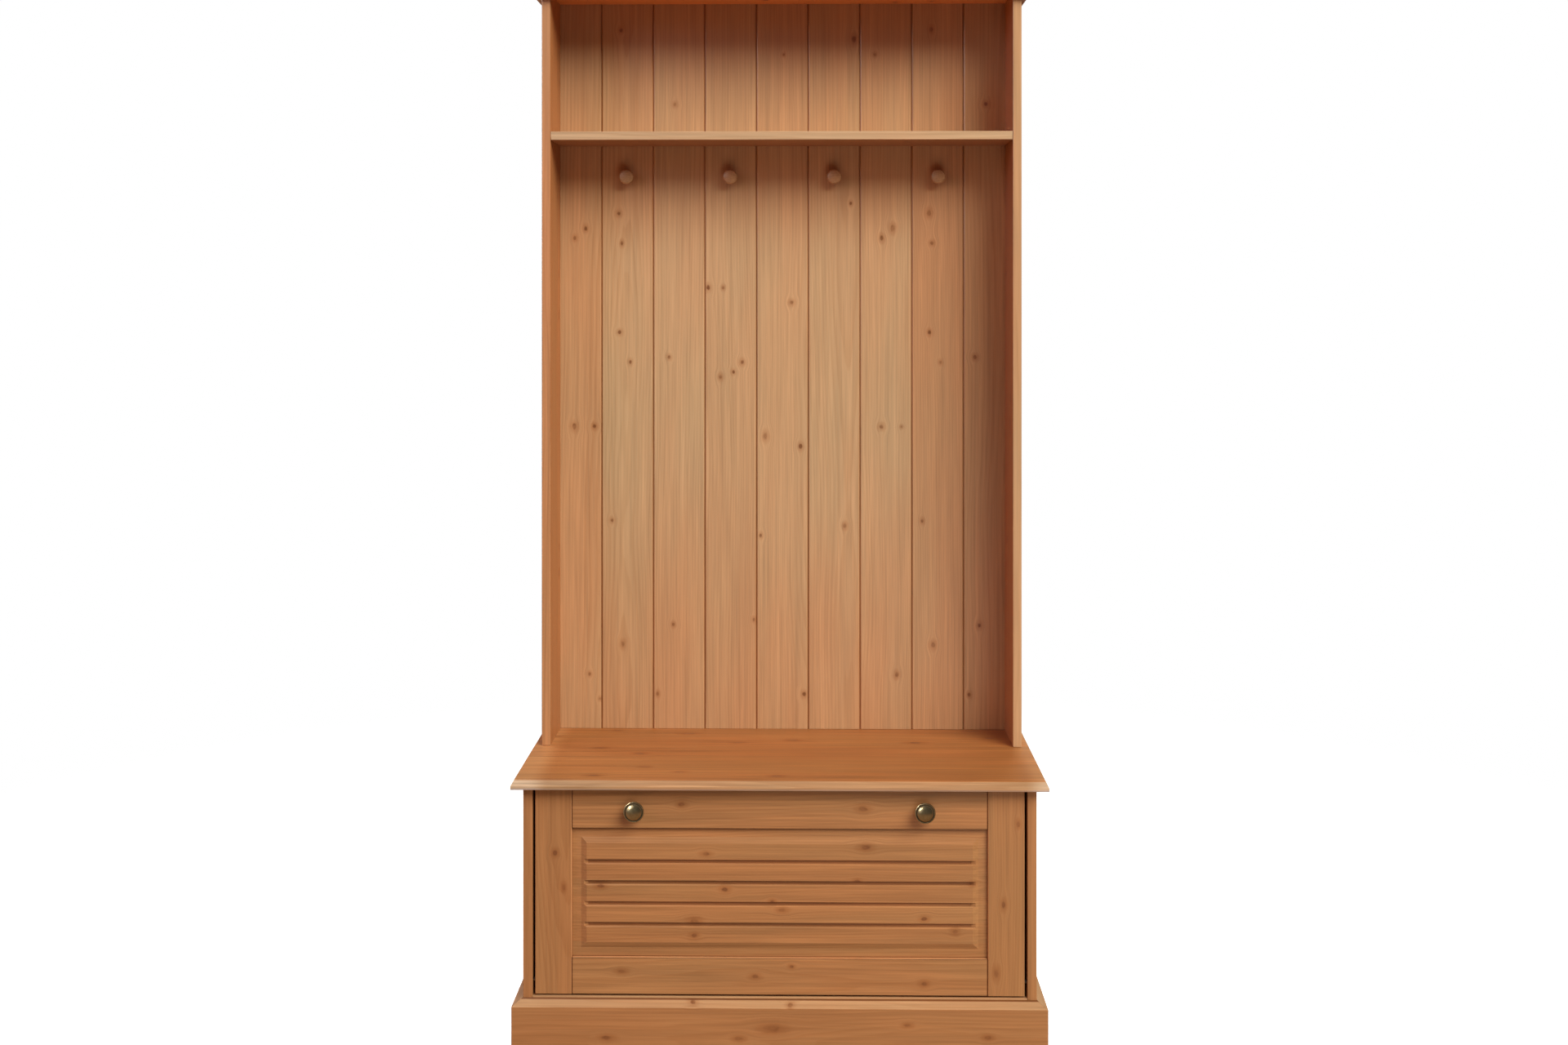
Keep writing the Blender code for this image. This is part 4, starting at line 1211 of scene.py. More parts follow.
@dataclass
class CoatPanel(Joinery):
    """Boards between two sides, with the hat shelf, top, cornice and coat pegs."""

    stave: float = 70 * MM
    # Depths below a face where a tint begins and where it has set in
    edge_highlight_depth: Pair = (1.6 * MM, 0.4 * MM)
    underside_light_and_shade: Pair = (1.6 * MM, 0.6 * MM)
    seam_shade_depth: Pair = (0.2 * MM, 1.5 * MM)
    pegs: int = 4
    peg_reach: float = 28 * MM
    peg_head: float = 14.5 * MM
    peg_head_length: float = 10 * MM
    peg_rounding: float = 4.5 * MM
    peg_crown: float = 2.0 * MM
    peg_bead: float = 1.5 * MM
    peg_cove: float = 5 * MM
    peg_neck: float = 8 * MM
    peg_foot: float = 11 * MM
    peg_foot_flare: float = 8 * MM
    peg_foot_edge: float = 1.5 * MM
    peg_seat: float = 0.3 * MM
    peg_tenon: float = 6 * MM
    peg_tenon_length: float = 12 * MM
    peg_crease: float = 40.0
    # Painted light and shade up the boards: darker towards the foot, paler in the lit middle, redder again
    # higher up.
    painted_light_bands: tuple[Tint, ...] = (
        Tint("Z", 1.00, 0.60, Stain.RUDDY),
        Tint("Z", 0.65, 1.15, Stain.BLEACHED),
        Tint("Z", 1.44, 1.56, Stain.RUDDY),
    )
    # Painted shade in the hat space under the top.
    shaded: Tint = Tint("Z", 1.72, 1.88, Stain.FLUSHED)
    outer_boards: tuple[int, ...] = (1, 8, 9)
    # Offset from the board's middle in millimetres, height in metres, radius in millimetres
    board_knots: dict[int, tuple[Triple, ...]] = field(default_factory=lambda: {
        1: ((11, 1.50, 5), (-11, 1.48, 4), (-12, 1.10, 5), (29, 1.10, 4), (19, 0.60, 5), (40, 0.55, 4)),
        2: ((-16, 1.90, 4), (-20, 1.53, 5), (-14, 1.47, 4), (-19, 1.29, 5), (3, 1.23, 4), (-34, 0.91, 4),
            (-12, 0.66, 5)),
        3: ((-11, 1.75, 5), (-23, 1.24, 5), (-14, 0.70, 5), (-46, 0.56, 4)),
        4: ((-48, 1.38, 4), (-18, 1.38, 4), (21, 1.23, 6), (3, 1.21, 4), (-23, 1.20, 4), (44, 0.71, 4)),
        5: ((0, 1.85, 4), (16, 1.35, 5), (-37, 1.08, 5), (34, 1.06, 4), (-47, 0.88, 4), (41, 0.56, 4)),
        6: ((37, 1.88, 5), (31, 1.55, 4), (19, 0.90, 5)),
        7: ((-24, 1.85, 4), (11, 1.50, 5), (-11, 1.48, 4), (-12, 1.10, 5), (29, 1.10, 4), (19, 0.60, 5)),
        8: ((-16, 1.90, 4), (-20, 1.53, 5), (-14, 1.47, 4), (-19, 1.29, 5), (3, 1.23, 4), (-34, 0.91, 4),
            (-12, 0.66, 5)),
        9: ((-1, 1.75, 5), (-23, 1.24, 5), (-14, 0.70, 4), (-35, 0.56, 4)),
    })

    def build(self) -> None:
        """Make every piece above the bench."""
        self.lay_boards()
        # Painted highlight on the sides' front edges, paler on the right, nearer the light.
        for side, stain in {"left": Stain.TAN, "right": Stain.HONEY}.items():
            edge = near_face(f"upper_side_{side}", "-Y", *self.edge_highlight_depth, stain)
            self.board(f"upper_side_{side}", Grain.SIDE, strewn=7, stain=Stain.RUSSET, tints=(edge,))
            self.board(f"cornice_{side}", Grain.RETURN, strewn=1)
        # Painted highlight on the shelf's front edge.
        shelf = (
            near_face("hat_shelf", "-Y", *self.edge_highlight_depth, Stain.SANDED),
            # Painted shade on the shelf's underside.
            near_face("hat_shelf", "-Z", *self.underside_light_and_shade, Stain.SOOTED),
        )
        self.board("hat_shelf", Grain.SHELF, strewn=9, stave=self.stave, tints=shelf)
        # Painted bounce light on the top's underside.
        below = near_face("top_panel", "-Z", *self.underside_light_and_shade, Stain.REDDENED)
        self.board("top_panel", Grain.SHELF, strewn=9, stave=self.stave, tints=(below,))
        self.board("cornice_front", Grain.LEVEL, strewn=5)
        self.turn_pegs()

    def lay_boards(self) -> None:
        """Make the tongue-and-groove boards, each with its own knots.

        The middle boards are painted paler half-way up, as painted light; the outer boards, the boards' foot
        and the hat space are painted redder and darker, as painted shade.
        """
        for number, knots in self.board_knots.items():
            node = f"back_board_{number}"
            middle = middle_of(node).x
            outer = number in self.outer_boards
            # Painted shade in the V-grooves between boards.
            seam_shade = near_face(node, "-Y", *self.seam_shade_depth, Stain.CREVICE, front_skin(node))
            # The outer boards get a redder colour as painted shade.
            self.board(
                node, Grain.UPRIGHT,
                tuple(Knot(middle + offset * MM, height, radius * MM) for offset, height, radius in knots),
                stain=Stain.RUDDY if outer else Stain.HONEY,
                tints=(seam_shade, self.shaded) if outer else (seam_shade, *self.painted_light_bands, self.shaded),
                halo=self.peg_halo(number),
            )

    def peg_halo(self, number: int) -> Knot | None:
        """Where shade is painted round a peg.

        Args:
            number: The board's number; every second board holds a peg.

        Returns:
            The peg's place on the board and its radius.
        """
        if number % 2:
            return None
        place = middle_of(f"coat_peg_{number // 2}")
        return Knot(place.x, place.z, self.peg_head)

    def peg_section(self) -> list[Pair]:
        """Radius and height down a peg, from its crowned face to its tenon.

        Returns:
            The section's points.
        """
        head_base = self.peg_reach - self.peg_head_length
        rim = self.peg_head - self.peg_rounding
        neck_edge = self.peg_head - self.peg_bead
        face = [
            (rim * share, self.peg_reach - self.peg_crown * share ** 2) for share in (0.0, 0.4, 0.7, 0.9)
        ]
        corner = (rim, self.peg_reach - self.peg_crown - self.peg_rounding)
        head = arc(corner, (self.peg_rounding, self.peg_rounding), 90, 0)
        under = arc((neck_edge, head_base + self.peg_bead), (self.peg_bead, self.peg_bead), 0, -90, 4)
        hollow = (neck_edge - self.peg_neck, self.peg_cove)
        cove = arc((neck_edge, head_base - self.peg_cove), hollow, 90, 180)
        flare = (self.peg_foot - self.peg_neck, self.peg_foot_flare - self.peg_foot_edge)
        foot = arc((self.peg_foot, self.peg_foot_flare), flare, 180, 270)
        return [
            *face, *head, *under, *cove[1:], *foot,
            (self.peg_foot, self.peg_seat), (self.peg_tenon, self.peg_seat),
            (self.peg_tenon, -self.peg_tenon_length), (0.0, -self.peg_tenon_length),
        ]

    def turn_pegs(self) -> None:
        """Turn one peg, copy it to the others' places and dress them all."""
        nodes = [f"coat_peg_{number}" for number in range(1, self.pegs + 1)]
        first = middle_of(nodes[0])
        seat = Vector((first.x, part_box(nodes[0])[0].y + self.peg_reach, first.z))
        pattern = Workpiece.turned(f"{nodes[0]}_pine", self.peg_section(), seat, FORWARD)
        pattern.smooth(self.peg_crease)
        copies = [pattern.copy_to(f"{node}_pine", middle_of(node) - first) for node in nodes[1:]]
        for node, peg in zip(nodes, (pattern, *copies)):
            # The pegs get a darker colour as painted shade.
            finish = Pine(f"pine {node}", Grain.TURNED, *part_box(node), stain=Stain.WORN, roughness=0.6)
            peg.deliver(STAND, self.slot, finish.material(), node)


# Bench cabinet

@dataclass
class BenchCabinet(Joinery):
    """Bench top on two sides, with the cabinet floor, the back and the plinth."""

    stave: float = 90 * MM
    nose_setback: float = 6.5 * MM
    nose_height: float = 11.5 * MM
    nose_highlight: Pair = (0.6 * MM, 2.5 * MM)
    nose_foot_shade: Pair = (4.2 * MM, 2.4 * MM)
    left_end_stain: Pair = (70 * MM, 30 * MM)
    right_end_stain: Pair = (45 * MM, 5 * MM)
    bench_arris: float = 1.2 * MM
    gap: float = 0.3 * MM
    plinth_bevel: Pair = (79.5 * MM, 80.5 * MM)
    plinth_seam: Pair = (4.4 * MM, 2.8 * MM)
    plinth_seam_heights: Pair = (76 * MM, 100 * MM)
    plinth_knots: tuple[Triple, ...] = (
        (-156, 87, 4), (20, 84, 4), (-13, 45, 6), (-311, 26, 5), (-73, 26, 4), (230, 52, 4), (375, 30, 4)
    )

    def build(self) -> None:
        """Make every fixed piece of the cabinet."""
        # Painted highlight on the bench top's ends, and on its nose and edges below the top face; a painted
        # shadow line under the nose.
        bench = (
            near_face("bench_top", "-X", *self.left_end_stain, Stain.BENCH_END),
            near_face("bench_top", "+X", *self.right_end_stain, Stain.BENCH_END),
            near_face("bench_top", "+Z", *self.nose_highlight, Stain.WORN),
            near_face("bench_top", "-Z", *self.nose_foot_shade, Stain.POOLED, front_skin("bench_top")),
        )
        self.board(
            "bench_top", Grain.SHELF, strewn=14, work=self.shape_bench(), stain=Stain.BENCH,
            stave=self.stave, knot_stretch=2.3, figure=2.0, tints=bench,
        )
        # Painted highlight on the plinth's bevel, which faces up.
        bevel = Tint("Z", *self.plinth_bevel, Stain.WORN)
        plinth = {"stain": Stain.AMBER, "knot_stretch": 2.2}
        for side in SIDES:
            self.board(f"base_side_{side}", Grain.SIDE, strewn=5, stain=Stain.AMBER, stave=self.stave)
            self.board(f"plinth_{side}", Grain.RETURN, strewn=2, tints=(bevel,), **plinth)
        # Painted shadow line where the plinth meets the cabinet floor.
        upper = (("Z", *self.plinth_seam_heights),)
        seam_shade = near_face("plinth_front", "+Y", *self.plinth_seam, Stain.SOAKED, upper)
        knots = knots_at(self.plinth_knots, Grain.LEVEL)
        self.board("plinth_front", Grain.LEVEL, knots, tints=(bevel, seam_shade), **plinth)
        inside = Joinery(STAND, "inner_pine")
        inside.board("base_floor", Grain.SHELF, strewn=6, stain=Stain.PLAIN, stave=self.stave)
        inside.board("base_back", Grain.UPRIGHT, strewn=6, stain=Stain.PLAIN, late_share=0.4)

    def shape_bench(self) -> Workpiece:
        """Shape the bench top: a block whose front and ends lean back to the top above a square edge.

        Returns:
            The bench top, with the housings and dowel holes of its underside.
        """
        low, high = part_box("bench_top")
        bench = Workpiece.block("bench_top_pine", low, high)
        bench.score(Vector((0.0, 0.0, high.z - self.nose_height)), UPWARD)
        level = high.z - 0.1 * MM
        bench.move(lambda place: place.z > level and place.y < 0, Vector((0.0, self.nose_setback, 0.0)))
        for side in SIDES.values():
            bench.move(
                lambda place: place.z > level and place.x * side > 0,
                Vector((-side * self.nose_setback, 0.0, 0.0)),
            )
        bench.ease(self.bench_arris, segments=3, sharpest=25.0, shortest=12 * MM)
        room = Vector((self.gap, self.gap, self.gap))
        for side in SIDES:
            under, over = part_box(f"base_side_{side}")
            bench.cut(Workpiece.block(f"housing {side}", under - room, over + room))
            for number in (1, 2):
                bench.cut(self.dowel_hole(f"foot_dowel_{side}_{number}"))
        return bench

    def dowel_hole(self, dowel: str) -> Workpiece:
        """A round cutter that leaves a little room round an upright dowel.

        Args:
            dowel: The dowel's CAD node.

        Returns:
            The cutter.
        """
        low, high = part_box(dowel)
        middle = middle_of(dowel)
        radius = (high.x - low.x) / 2 + self.gap
        length = high.z - low.z
        section = [(0.0, -self.gap), (radius, -self.gap), (radius, length), (0.0, length)]
        base = Vector((middle.x, middle.y, low.z))
        return Workpiece.turned(f"hole for {dowel}", section, base, UPWARD, steps=24)


# Shoe flap

@dataclass
class ShoeFlap(Joinery):
    """Framed and panelled flap with its brass knobs and their screws."""

    body: str = FLAP
    knob_radius: float = 18.7 * MM
    knob_dome: float = 15.2 * MM
    knob_dome_height: float = 8.5 * MM
    knob_rim: float = 1.5 * MM
    knob_rim_lift: float = 0.2 * MM
    knob_reach: float = 26.5 * MM
    knob_cove: float = 4 * MM
    knob_neck: float = 7 * MM
    knob_waist: float = 5.5 * MM
    knob_foot: float = 10 * MM
    knob_foot_edge: float = 2.5 * MM
    knob_seat: float = 0.3 * MM
    knob_crease: float = 50.0
    screw_hole: float = 2.3 * MM
    screw_depth: float = 9.3 * MM
    screw_head: float = 4 * MM
    screw_head_height: float = 2.5 * MM
    screw_dome: float = 1.4 * MM
    screw_shank: float = 2 * MM
    screw_point: float = 2 * MM
    screw_tip: float = 0.6 * MM
    cross_arm: float = 2.1 * MM
    cross_width: float = 0.5 * MM
    cross_depth: float = 1.3 * MM
    rail_arris: float = 1.5 * MM
    rail_seam: Pair = (-2.2 * MM, -1.0 * MM)
    stile_wear: Pair = (1.7 * MM, 0.6 * MM)
    stile_rim: Pair = (-1.7 * MM, -0.7 * MM)
    sill_highlight: Pair = (1.8 * MM, 0.6 * MM)
    sill_shadow_line: Pair = (-2.2 * MM, -0.9 * MM)
    panel_arris: float = 0.5 * MM
    panel_crease: float = 12.0
    slats: int = 5
    slat_headroom: float = 17 * MM
    panel_margin: float = 27 * MM
    panel_step: float = 10.5 * MM
    panel_step_depth: float = 4 * MM
    groove_depth: float = 4.8 * MM
    groove_stain: Pair = (4.2 * MM, 4.6 * MM)
    groove_stain_limit: float = 5.2 * MM
    groove_height: float = 7.5 * MM
    groove_draft: float = 0.6 * MM
    groove_lip: float = 1.2 * MM
    groove_drop: float = 1.8 * MM
    groove_runout: float = 5.5 * MM
    groove_taper: float = 9 * MM
    panel_knots: tuple[Triple, ...] = (
        (-133, 351, 4), (156, 364, 5), (-325, 292, 5), (-99, 287, 5), (-13, 265, 5), (5, 250, 4),
        (348, 299, 4), (141, 303, 4), (-154, 229, 5), (-155, 203, 4), (262, 235, 4), (318, 212, 4)
    )
    rail_knots: tuple[Triple, ...] = (
        (-177, 441, 4), (151, 434, 5), (-286, 138, 5), (-44, 130, 5), (22, 148, 4), (262, 118, 4)
    )
    stile_knots: tuple[Triple, ...] = (
        (-407, 352, 5), (-391, 290, 4), (432, 408, 4), (392, 138, 5), (405, 262, 4)
    )

    def build(self) -> None:
        """Make the frame, the panel and the knobs."""
        inner_face = {"left": "+X", "right": "-X"}
        # Painted light on the stiles' inner arrises: pale on the left one, which faces the light, redder on
        # the right one, which faces away.
        arris_shading = {"left": Stain.TAN, "right": Stain.RUSSET}
        for side, face in inner_face.items():
            node = f"flap_stile_{side}"
            self.board(
                node, Grain.UPRIGHT, knots_at(self.stile_knots, Grain.UPRIGHT), stain=Stain.AMBER,
                tints=(near_face(node, face, *self.stile_wear, arris_shading[side]),), knot_stretch=1.6,
            )
        # Painted shade at the rails' ends, in the joints with the stiles.
        joint_shades = tuple(
            near_face(f"flap_stile_{side}", face, *self.rail_seam, Stain.SOAKED)
            for side, face in inner_face.items()
        )
        # Painted highlight on the bottom rail's top arris.
        sill_lit_arris = near_face("flap_rail_bottom", "+Z", *self.sill_highlight, Stain.TAN)
        for place, tints in {"top": joint_shades, "bottom": (*joint_shades, sill_lit_arris)}.items():
            self.board(
                f"flap_rail_{place}", Grain.LEVEL, knots_at(self.rail_knots, Grain.LEVEL),
                stain=Stain.AMBER, arris=self.rail_arris, tints=tints, knot_stretch=1.9, figure=1.6,
            )
        base, pitch = self.slat_spacing()
        self.board(
            "flap_panel", Grain.LEVEL, knots_at(self.panel_knots, Grain.LEVEL), work=self.shape_panel(),
            arris=self.panel_arris, crease=self.panel_crease, stain=Stain.AMBER, stave=pitch,
            stave_edge=base, knot_stretch=1.6, figure=1.3, tints=self.panel_tints(),
        )
        self.turn_knobs()
        self.turn_screws()

    def panel_tints(self) -> tuple[Tint, ...]:
        """Painted shade in the panel's grooves and along its lower and left edges.

        Returns:
            The tints.
        """
        base, pitch = self.slat_spacing()
        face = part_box("flap_panel")[0].y
        reach = self.groove_reach()
        inside = (
            ("X", -reach, reach),
            ("Y", face, face + self.groove_stain_limit),
            ("Z", base + pitch / 2, base + (self.slats - 0.5) * pitch),
        )
        return (
            near_face("flap_panel", "-Y", *self.groove_stain, Stain.POOLED, inside),
            near_face("flap_rail_bottom", "+Z", *self.sill_shadow_line, Stain.POOLED),
            near_face("flap_stile_left", "+X", *self.stile_rim, Stain.POOLED),
        )

    def groove_reach(self) -> float:
        """Half the length of a groove, which runs out in the panel's sloping step."""
        opening = -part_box("flap_stile_left")[1].x
        return opening - self.panel_margin + self.groove_runout

    def slat_spacing(self) -> tuple[float, float]:
        """Where the slats start and how far apart their lips are.

        Returns:
            Height of the field's lower edge, and the distance from lip to lip.
        """
        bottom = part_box("flap_rail_bottom")[1].z
        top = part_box("flap_rail_top")[0].z
        pitch = (top - bottom - self.panel_margin - self.slat_headroom) / self.slats
        return bottom + self.panel_margin, pitch

    def shape_panel(self) -> Workpiece:
        """Shape the raised panel: a tongue, a margin, a sloping step and a field cut into slats.

        Returns:
            The panel.
        """
        low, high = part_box("flap_panel")
        stile_low, stile_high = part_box("flap_stile_left")
        tongue = stile_high.x - low.x
        thickness = 2 * (high.y - (stile_low.y + stile_high.y) / 2)
        slab = Vector((low.x, high.y - thickness, low.z))
        panel = Workpiece.block("flap_panel_pine", slab, high)
        rise = slab.y - low.y
        margin = self.panel_margin - self.panel_step
        panel.inset(FORWARD, [
            (tongue, 0.0), (margin, rise - self.panel_step_depth), (self.panel_step, self.panel_step_depth)
        ])
        base, pitch = self.slat_spacing()
        reach = self.groove_reach()
        for number in range(1, self.slats):
            lip = base + number * pitch - self.groove_drop
            panel.cut(
                self.slat_groove(f"groove {number}", reach, low.y, lip),
                self.lip_chamfer(f"lip {number}", reach, low.y, lip - self.groove_height),
            )
        return panel

    def slat_groove(self, name: str, reach: float, face: float, lip: float) -> Workpiece:
        """A bar for the groove between two slats: a flat floor, walls that open a little, ends that run out.

        Args:
            name: The bar's name.
            reach: Half its length.
            face: The field's front.
            lip: Height of the groove's upper lip.

        Returns:
            The bar.
        """
        deep, tall, draft, over = self.groove_depth, self.groove_height, self.groove_draft, 1 * MM
        bar = Workpiece.block(
            name, Vector((-reach, face - over, lip - 2 * tall)), Vector((reach, face + deep, lip + tall))
        )
        bar.slice(Vector((0.0, face, lip)), Vector((0.0, draft, deep)))
        bar.slice(Vector((0.0, face, lip - tall)), Vector((0.0, draft, -deep)))
        crest = self.panel_step_depth * self.groove_runout / self.panel_step
        for side in SIDES.values():
            end = Vector((side * reach, face + crest, lip))
            bar.slice(end, Vector((side * (deep - crest), self.groove_taper, 0.0)))
        return bar

    def lip_chamfer(self, name: str, reach: float, face: float, edge: float) -> Workpiece:
        """A three-sided bar that takes off the lower edge of a groove.

        Args:
            name: The bar's name.
            reach: Half its length.
            face: The field's front.
            edge: Height of the groove's lower edge.

        Returns:
            The bar.
        """
        wide = self.groove_lip
        bar = Workpiece.block(
            name,
            Vector((-reach, face - wide, edge - 3 * wide)),
            Vector((reach, face + 1.5 * wide, edge + wide)),
        )
        bar.slice(Vector((0.0, face, edge - wide)), Vector((0.0, 1.0, -1.0)))
        return bar

    def knob_section(self) -> list[Pair]:
        """Radius and height down a knob, from its dome over the rim to its foot and screw hole.

        Returns:
            The section's points.
        """
        seat = self.knob_reach - self.knob_dome_height
        dome = arc((0.0, seat), (self.knob_dome, self.knob_dome_height), 90, 6, 12)
        crest = (self.knob_radius - self.knob_rim, seat + self.knob_rim_lift)
        rim = arc(crest, (self.knob_rim, self.knob_rim), 165, -90, 14)
        back = crest[1] - self.knob_rim
        hollow = (crest[0] - self.knob_neck, self.knob_cove)
        cove = arc((crest[0], back - self.knob_cove), hollow, 90, 180)
        flare = (self.knob_foot - self.knob_neck, self.knob_waist - self.knob_foot_edge)
        foot = arc((self.knob_foot, self.knob_waist), flare, 180, 270, 5)
        return [
            (0.0, self.knob_reach), *dome[1:], *rim, *cove[1:], *foot,
            (self.knob_foot, self.knob_seat), (self.screw_hole, self.knob_seat),
            (self.screw_hole, self.screw_depth), (0.0, self.screw_depth),
        ]

    def turn_knobs(self) -> None:
        """Turn the knobs."""
        low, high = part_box("knob_right")
        middle = (low + high) / 2
        place = Vector((middle.x, low.y + self.knob_reach, middle.z))
        knob = Workpiece.turned("knob_right_brass", self.knob_section(), place, FORWARD, steps=56)
        knob.smooth(self.knob_crease)
        brass = AntiqueBrass("antique brass", place.x, place.z, self.knob_dome, self.knob_radius)
        self.deliver_pair("knob", knob, "antique_brass", brass)

    def turn_screws(self) -> None:
        """Turn the knobs' screws and cut a cross into their heads."""
        low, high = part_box("knob_screw_right")
        middle = (low + high) / 2
        place = Vector((middle.x, high.y, middle.z))
        length = high.y - low.y
        dome = arc((0.0, -self.screw_dome), (self.screw_head, self.screw_dome), 90, 0)
        section = [
            (0.0, 0.0), *[(radius, -height) for radius, height in dome[1:]],
            (self.screw_head, self.screw_head_height), (self.screw_shank, self.screw_head_height),
            (self.screw_shank, length - self.screw_point), (self.screw_tip, length), (0.0, length),
        ]
        screw = Workpiece.turned("knob_screw_right_steel", section, place, FORWARD, steps=32)
        for wide, tall in ((self.cross_arm, self.cross_width), (self.cross_width, self.cross_arm)):
            reach = Vector((wide, self.cross_depth, tall))
            screw.cut(Workpiece.block("cross", place - reach, place + reach))
        screw.smooth()
        self.deliver_pair("knob_screw", screw, "zinc_steel", ZincSteel("zinc screw"))

    def deliver_pair(self, kind: str, right: Workpiece, slot: str, finish: Finish) -> None:
        """Copy a piece from the right to the left, and deliver both.

        Args:
            kind: The CAD nodes' name without its side.
            right: The shaped piece on the right.
            slot: The record's material slot.
            finish: The finish of both.
        """
        across = Vector((-2 * middle_of(f"{kind}_right").x, 0.0, 0.0))
        left = right.copy_to(right.piece.name.replace("right", "left"), across)
        material = finish.material()
        right.deliver(self.body, slot, material, f"{kind}_right")
        left.deliver(self.body, slot, material, f"{kind}_left")


@dataclass
class ShoeTray(Joinery):
    """Shoe tray behind the flap: two cheeks, a floor, a divider and a lip."""

    body: str = FLAP
    slot: str = "inner_pine"
    stave: float = 90 * MM

    def build(self) -> None:
        """Make the tray's pieces."""
        for side in SIDES:
            self.board(f"tray_bracket_{side}", Grain.RETURN, strewn=2, stain=Stain.PLAIN, late_share=0.4)
        self.board("tray_floor", Grain.SHELF, strewn=5, stain=Stain.PLAIN, stave=self.stave)
        self.board("tray_divider", Grain.LEVEL, strewn=2, stain=Stain.PLAIN)
        self.board("tray_lip", Grain.LEVEL, strewn=2, stain=Stain.PLAIN)


# Hidden hardware

@dataclass
class Hardware:
    """Pivot pins, bushes, stop pins and dowels."""

    chamfer: float = 0.6 * MM

    def build(self) -> None:
        """Turn the pins, and dress the dowels and bushes."""
        # The pins are darkened as painted shade, where they show in the gaps beside the flap.
        steel = ZincSteel("tarnished zinc pin", (0.20, 0.19, 0.18), (0.10, 0.095, 0.09)).material()
        beech = Beech("beech dowel").material()
        nylon = Nylon("natural nylon").material()
        for side in SIDES:
            for kind in ("pivot_pin", "stop_pin"):
                self.turn_pin(f"{kind}_{side}", steel)
            for kind in ("foot_dowel", "shelf_dowel"):
                for number in (1, 2):
                    self.dress_node(f"{kind}_{side}_{number}", beech)
            self.dress_node(f"pivot_bush_{side}", nylon)

    def dress_node(self, node: str, material: bpy.types.Material) -> None:
        """Give a CAD node's own shape a material.

        Args:
            node: The node.
            material: The material.
        """
        materials = bpy.data.objects[node].data.materials
        materials.clear()
        materials.append(material)

    def turn_pin(self, node: str, steel: bpy.types.Material) -> None:
        """Turn a plain pin with chamfered ends.

        Args:
            node: The CAD node it stands for.
            steel: Its material.
        """
        low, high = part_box(node)
        middle = (low + high) / 2
        radius = (high.z - low.z) / 2
        half = (high.x - low.x) / 2
        section = [
            (0.0, half), (radius - self.chamfer, half), (radius, half - self.chamfer),
            (radius, self.chamfer - half), (radius - self.chamfer, -half), (0.0, -half),
        ]
        pin = Workpiece.turned(f"{node}_steel", section, middle, SIDEWAYS, steps=40)
        pin.smooth()
        pin.deliver(STAND, "zinc_steel", steel, node)


# Studio

@dataclass(frozen=True)
class Lamp:
    """A soft light, round unless it has a height of its own, that the camera doesn't see."""

    name: str
    place: Triple
    aim: Triple
    width: float
    power: float
    height: float | None = None
    colour: Triple = (1.0, 1.0, 1.0)
    spread: float = 180.0
    mirrored: bool = False
    diffuse: bool = True

    def hang(self) -> None:
        """Put the lamp into the scene, turned towards its aim."""
        light = bpy.data.lights.new(self.name, "AREA")
        light.shape = "ELLIPSE" if self.height else "DISK"
        light.size = self.width
        if self.height:
            light.size_y = self.height
        light.energy = self.power
        light.color = self.colour
        light.spread = math.radians(self.spread)
        lamp = bpy.data.objects.new(self.name, light)
        lamp.location = self.place
        lamp.rotation_euler = (Vector(self.aim) - Vector(self.place)).to_track_quat("-Z", "Y").to_euler()
        lamp.visible_camera = False
        lamp.visible_glossy = self.mirrored
        lamp.visible_diffuse = self.diffuse
        bpy.context.scene.collection.objects.link(lamp)


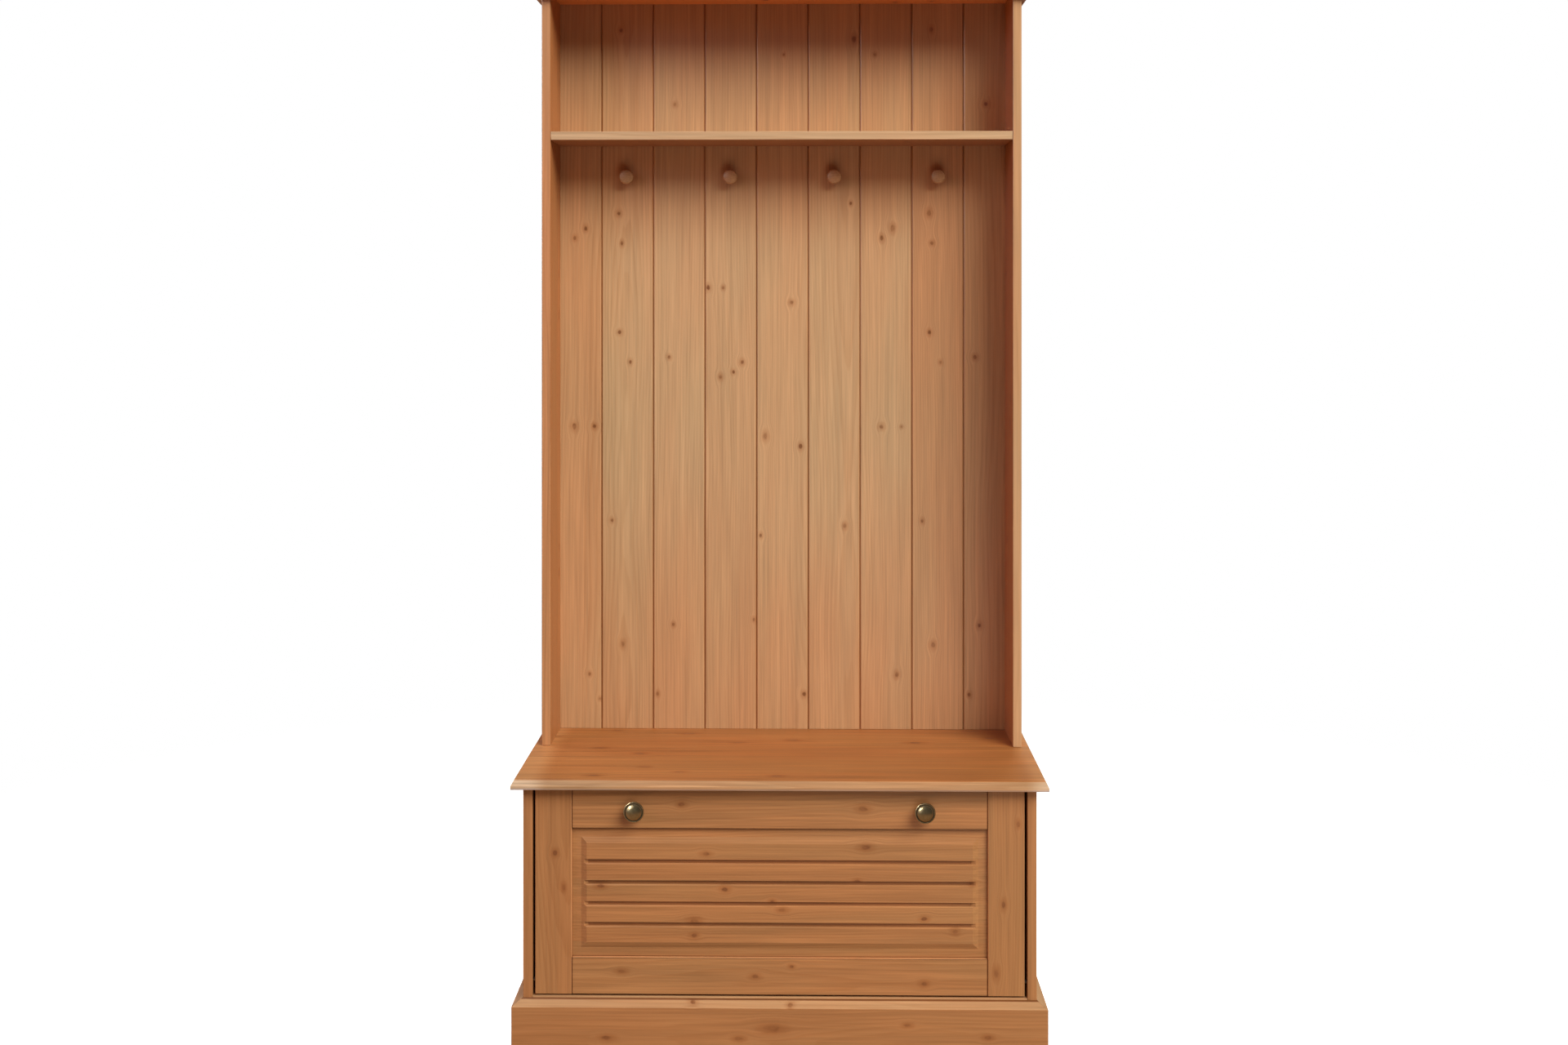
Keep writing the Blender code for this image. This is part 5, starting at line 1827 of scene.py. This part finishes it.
@dataclass
class Studio:
    """Camera at the photograph's place, soft lights, a pale floor and a white surround."""

    eye: Triple = (0.0497, -3.1875, 1.356)
    yaw: float = 0.0137
    lens: float = 38.32
    sensor: float = 36.0
    rise: float = -0.1422
    floor_size: float = 14.0
    floor_place: Triple = (0.0, 2.0, -0.2 * MM)
    warm: Triple = (1.0, 0.31, 0.09)
    white: Triple = (1.0, 1.0, 1.0)
    surround_strength: float = 0.070
    mirrored_strength: float = 0.10

    def build(self) -> None:
        """Set up the view, the lights and the floor."""
        self.place_camera()
        for lamp in self.lamps():
            lamp.hang()
        self.lay_floor()
        self.fill_world()
        settings = bpy.context.scene.view_settings
        settings.view_transform = "Standard"
        settings.look = "None"

    def lamps(self) -> tuple[Lamp, ...]:
        """The lights, in the order in which they are hung.

        Returns:
            The lamps.
        """
        return (
            Lamp("key light", (7.3, -8.0, 9.8), (0.0, 0.0, 1.1), 12.0, 2540.0, height=8.0),
            Lamp("left fill", (-3.6, -2.4, 3.0), (0.0, 0.0, 1.0), 3.0, 38.0, colour=self.warm),
            Lamp("low fill", (0.5, -1.7, 0.35), (0.0, 0.0, 0.3), 1.0, 5.0),
            Lamp("rear fill", (-2.8, 0.9, 1.6), (-0.4, 0.0, 0.5), 1.2, 45.0, mirrored=True),
            Lamp("back light", (1.6, 4.2, 2.6), (0.0, 0.2, 0.9), 2.4, 110.0),
            Lamp(
                "bounce off the bench", (0.0, -0.45, 0.95), (0.0, 0.15, 1.65), 1.2, 0.16, height=0.3,
                colour=(1.0, 0.43, 0.31), spread=50.0,
            ),
            Lamp(
                "left panel", (-3.0, -1.9, 2.9), (0.0, 0.0, 0.4), 1.8, 190.0, mirrored=True, diffuse=False
            ),
        )

    def place_camera(self) -> None:
        """Put the camera where the photograph was taken from."""
        camera = bpy.data.cameras.new("photograph view")
        camera.sensor_width = self.sensor
        camera.lens = self.lens
        camera.shift_y = self.rise
        view = bpy.data.objects.new("photograph view", camera)
        view.location = self.eye
        view.rotation_euler = (math.pi / 2, 0.0, self.yaw)
        bpy.context.scene.collection.objects.link(view)
        bpy.context.scene.camera = view

    def lay_floor(self) -> None:
        """Lay a pale floor under the stand."""
        bpy.ops.object.select_all(action="DESELECT")
        bpy.ops.mesh.primitive_plane_add(size=self.floor_size, location=self.floor_place)
        floor = Workpiece.just_added("studio_floor").piece
        floor.data.materials.append(StudioFloor("studio floor").material())

    def fill_world(self) -> None:
        """Light softly from all round, and show white behind the stand."""
        world = bpy.data.worlds.new("white surround")
        bpy.context.scene.world = world
        tree = ShaderTree(world)
        fill, panels, white = (
            tree.add("ShaderNodeBackground", inputs={"Color": colour, "Strength": strength})
            for colour, strength in (
                (self.warm, self.surround_strength), (self.white, self.mirrored_strength), (self.white, 1.0)
            )
        )
        seen = tree.add("ShaderNodeLightPath", output="Is Camera Ray")
        mirrored = tree.add("ShaderNodeLightPath", output="Is Glossy Ray")
        around = tree.add("ShaderNodeMixShader", inputs={0: mirrored, 1: fill, 2: panels})
        both = tree.add("ShaderNodeMixShader", inputs={0: seen, 1: around, 2: white})
        tree.add("ShaderNodeOutputWorld", inputs={"Surface": both})


def main() -> None:
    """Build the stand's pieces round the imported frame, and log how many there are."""
    logging.basicConfig(level=logging.INFO, format="%(message)s")
    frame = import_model()
    for assembly in (Studio(), CoatPanel(), BenchCabinet(), ShoeFlap(), ShoeTray(), Hardware()):
        assembly.build()
    bpy.ops.object.select_all(action="DESELECT")
    bpy.context.view_layer.update()
    LOG.info("%d new pieces for %d nodes", len(Workpiece.made), len(frame["nodes"]))


if __name__ == "__main__":
    main()
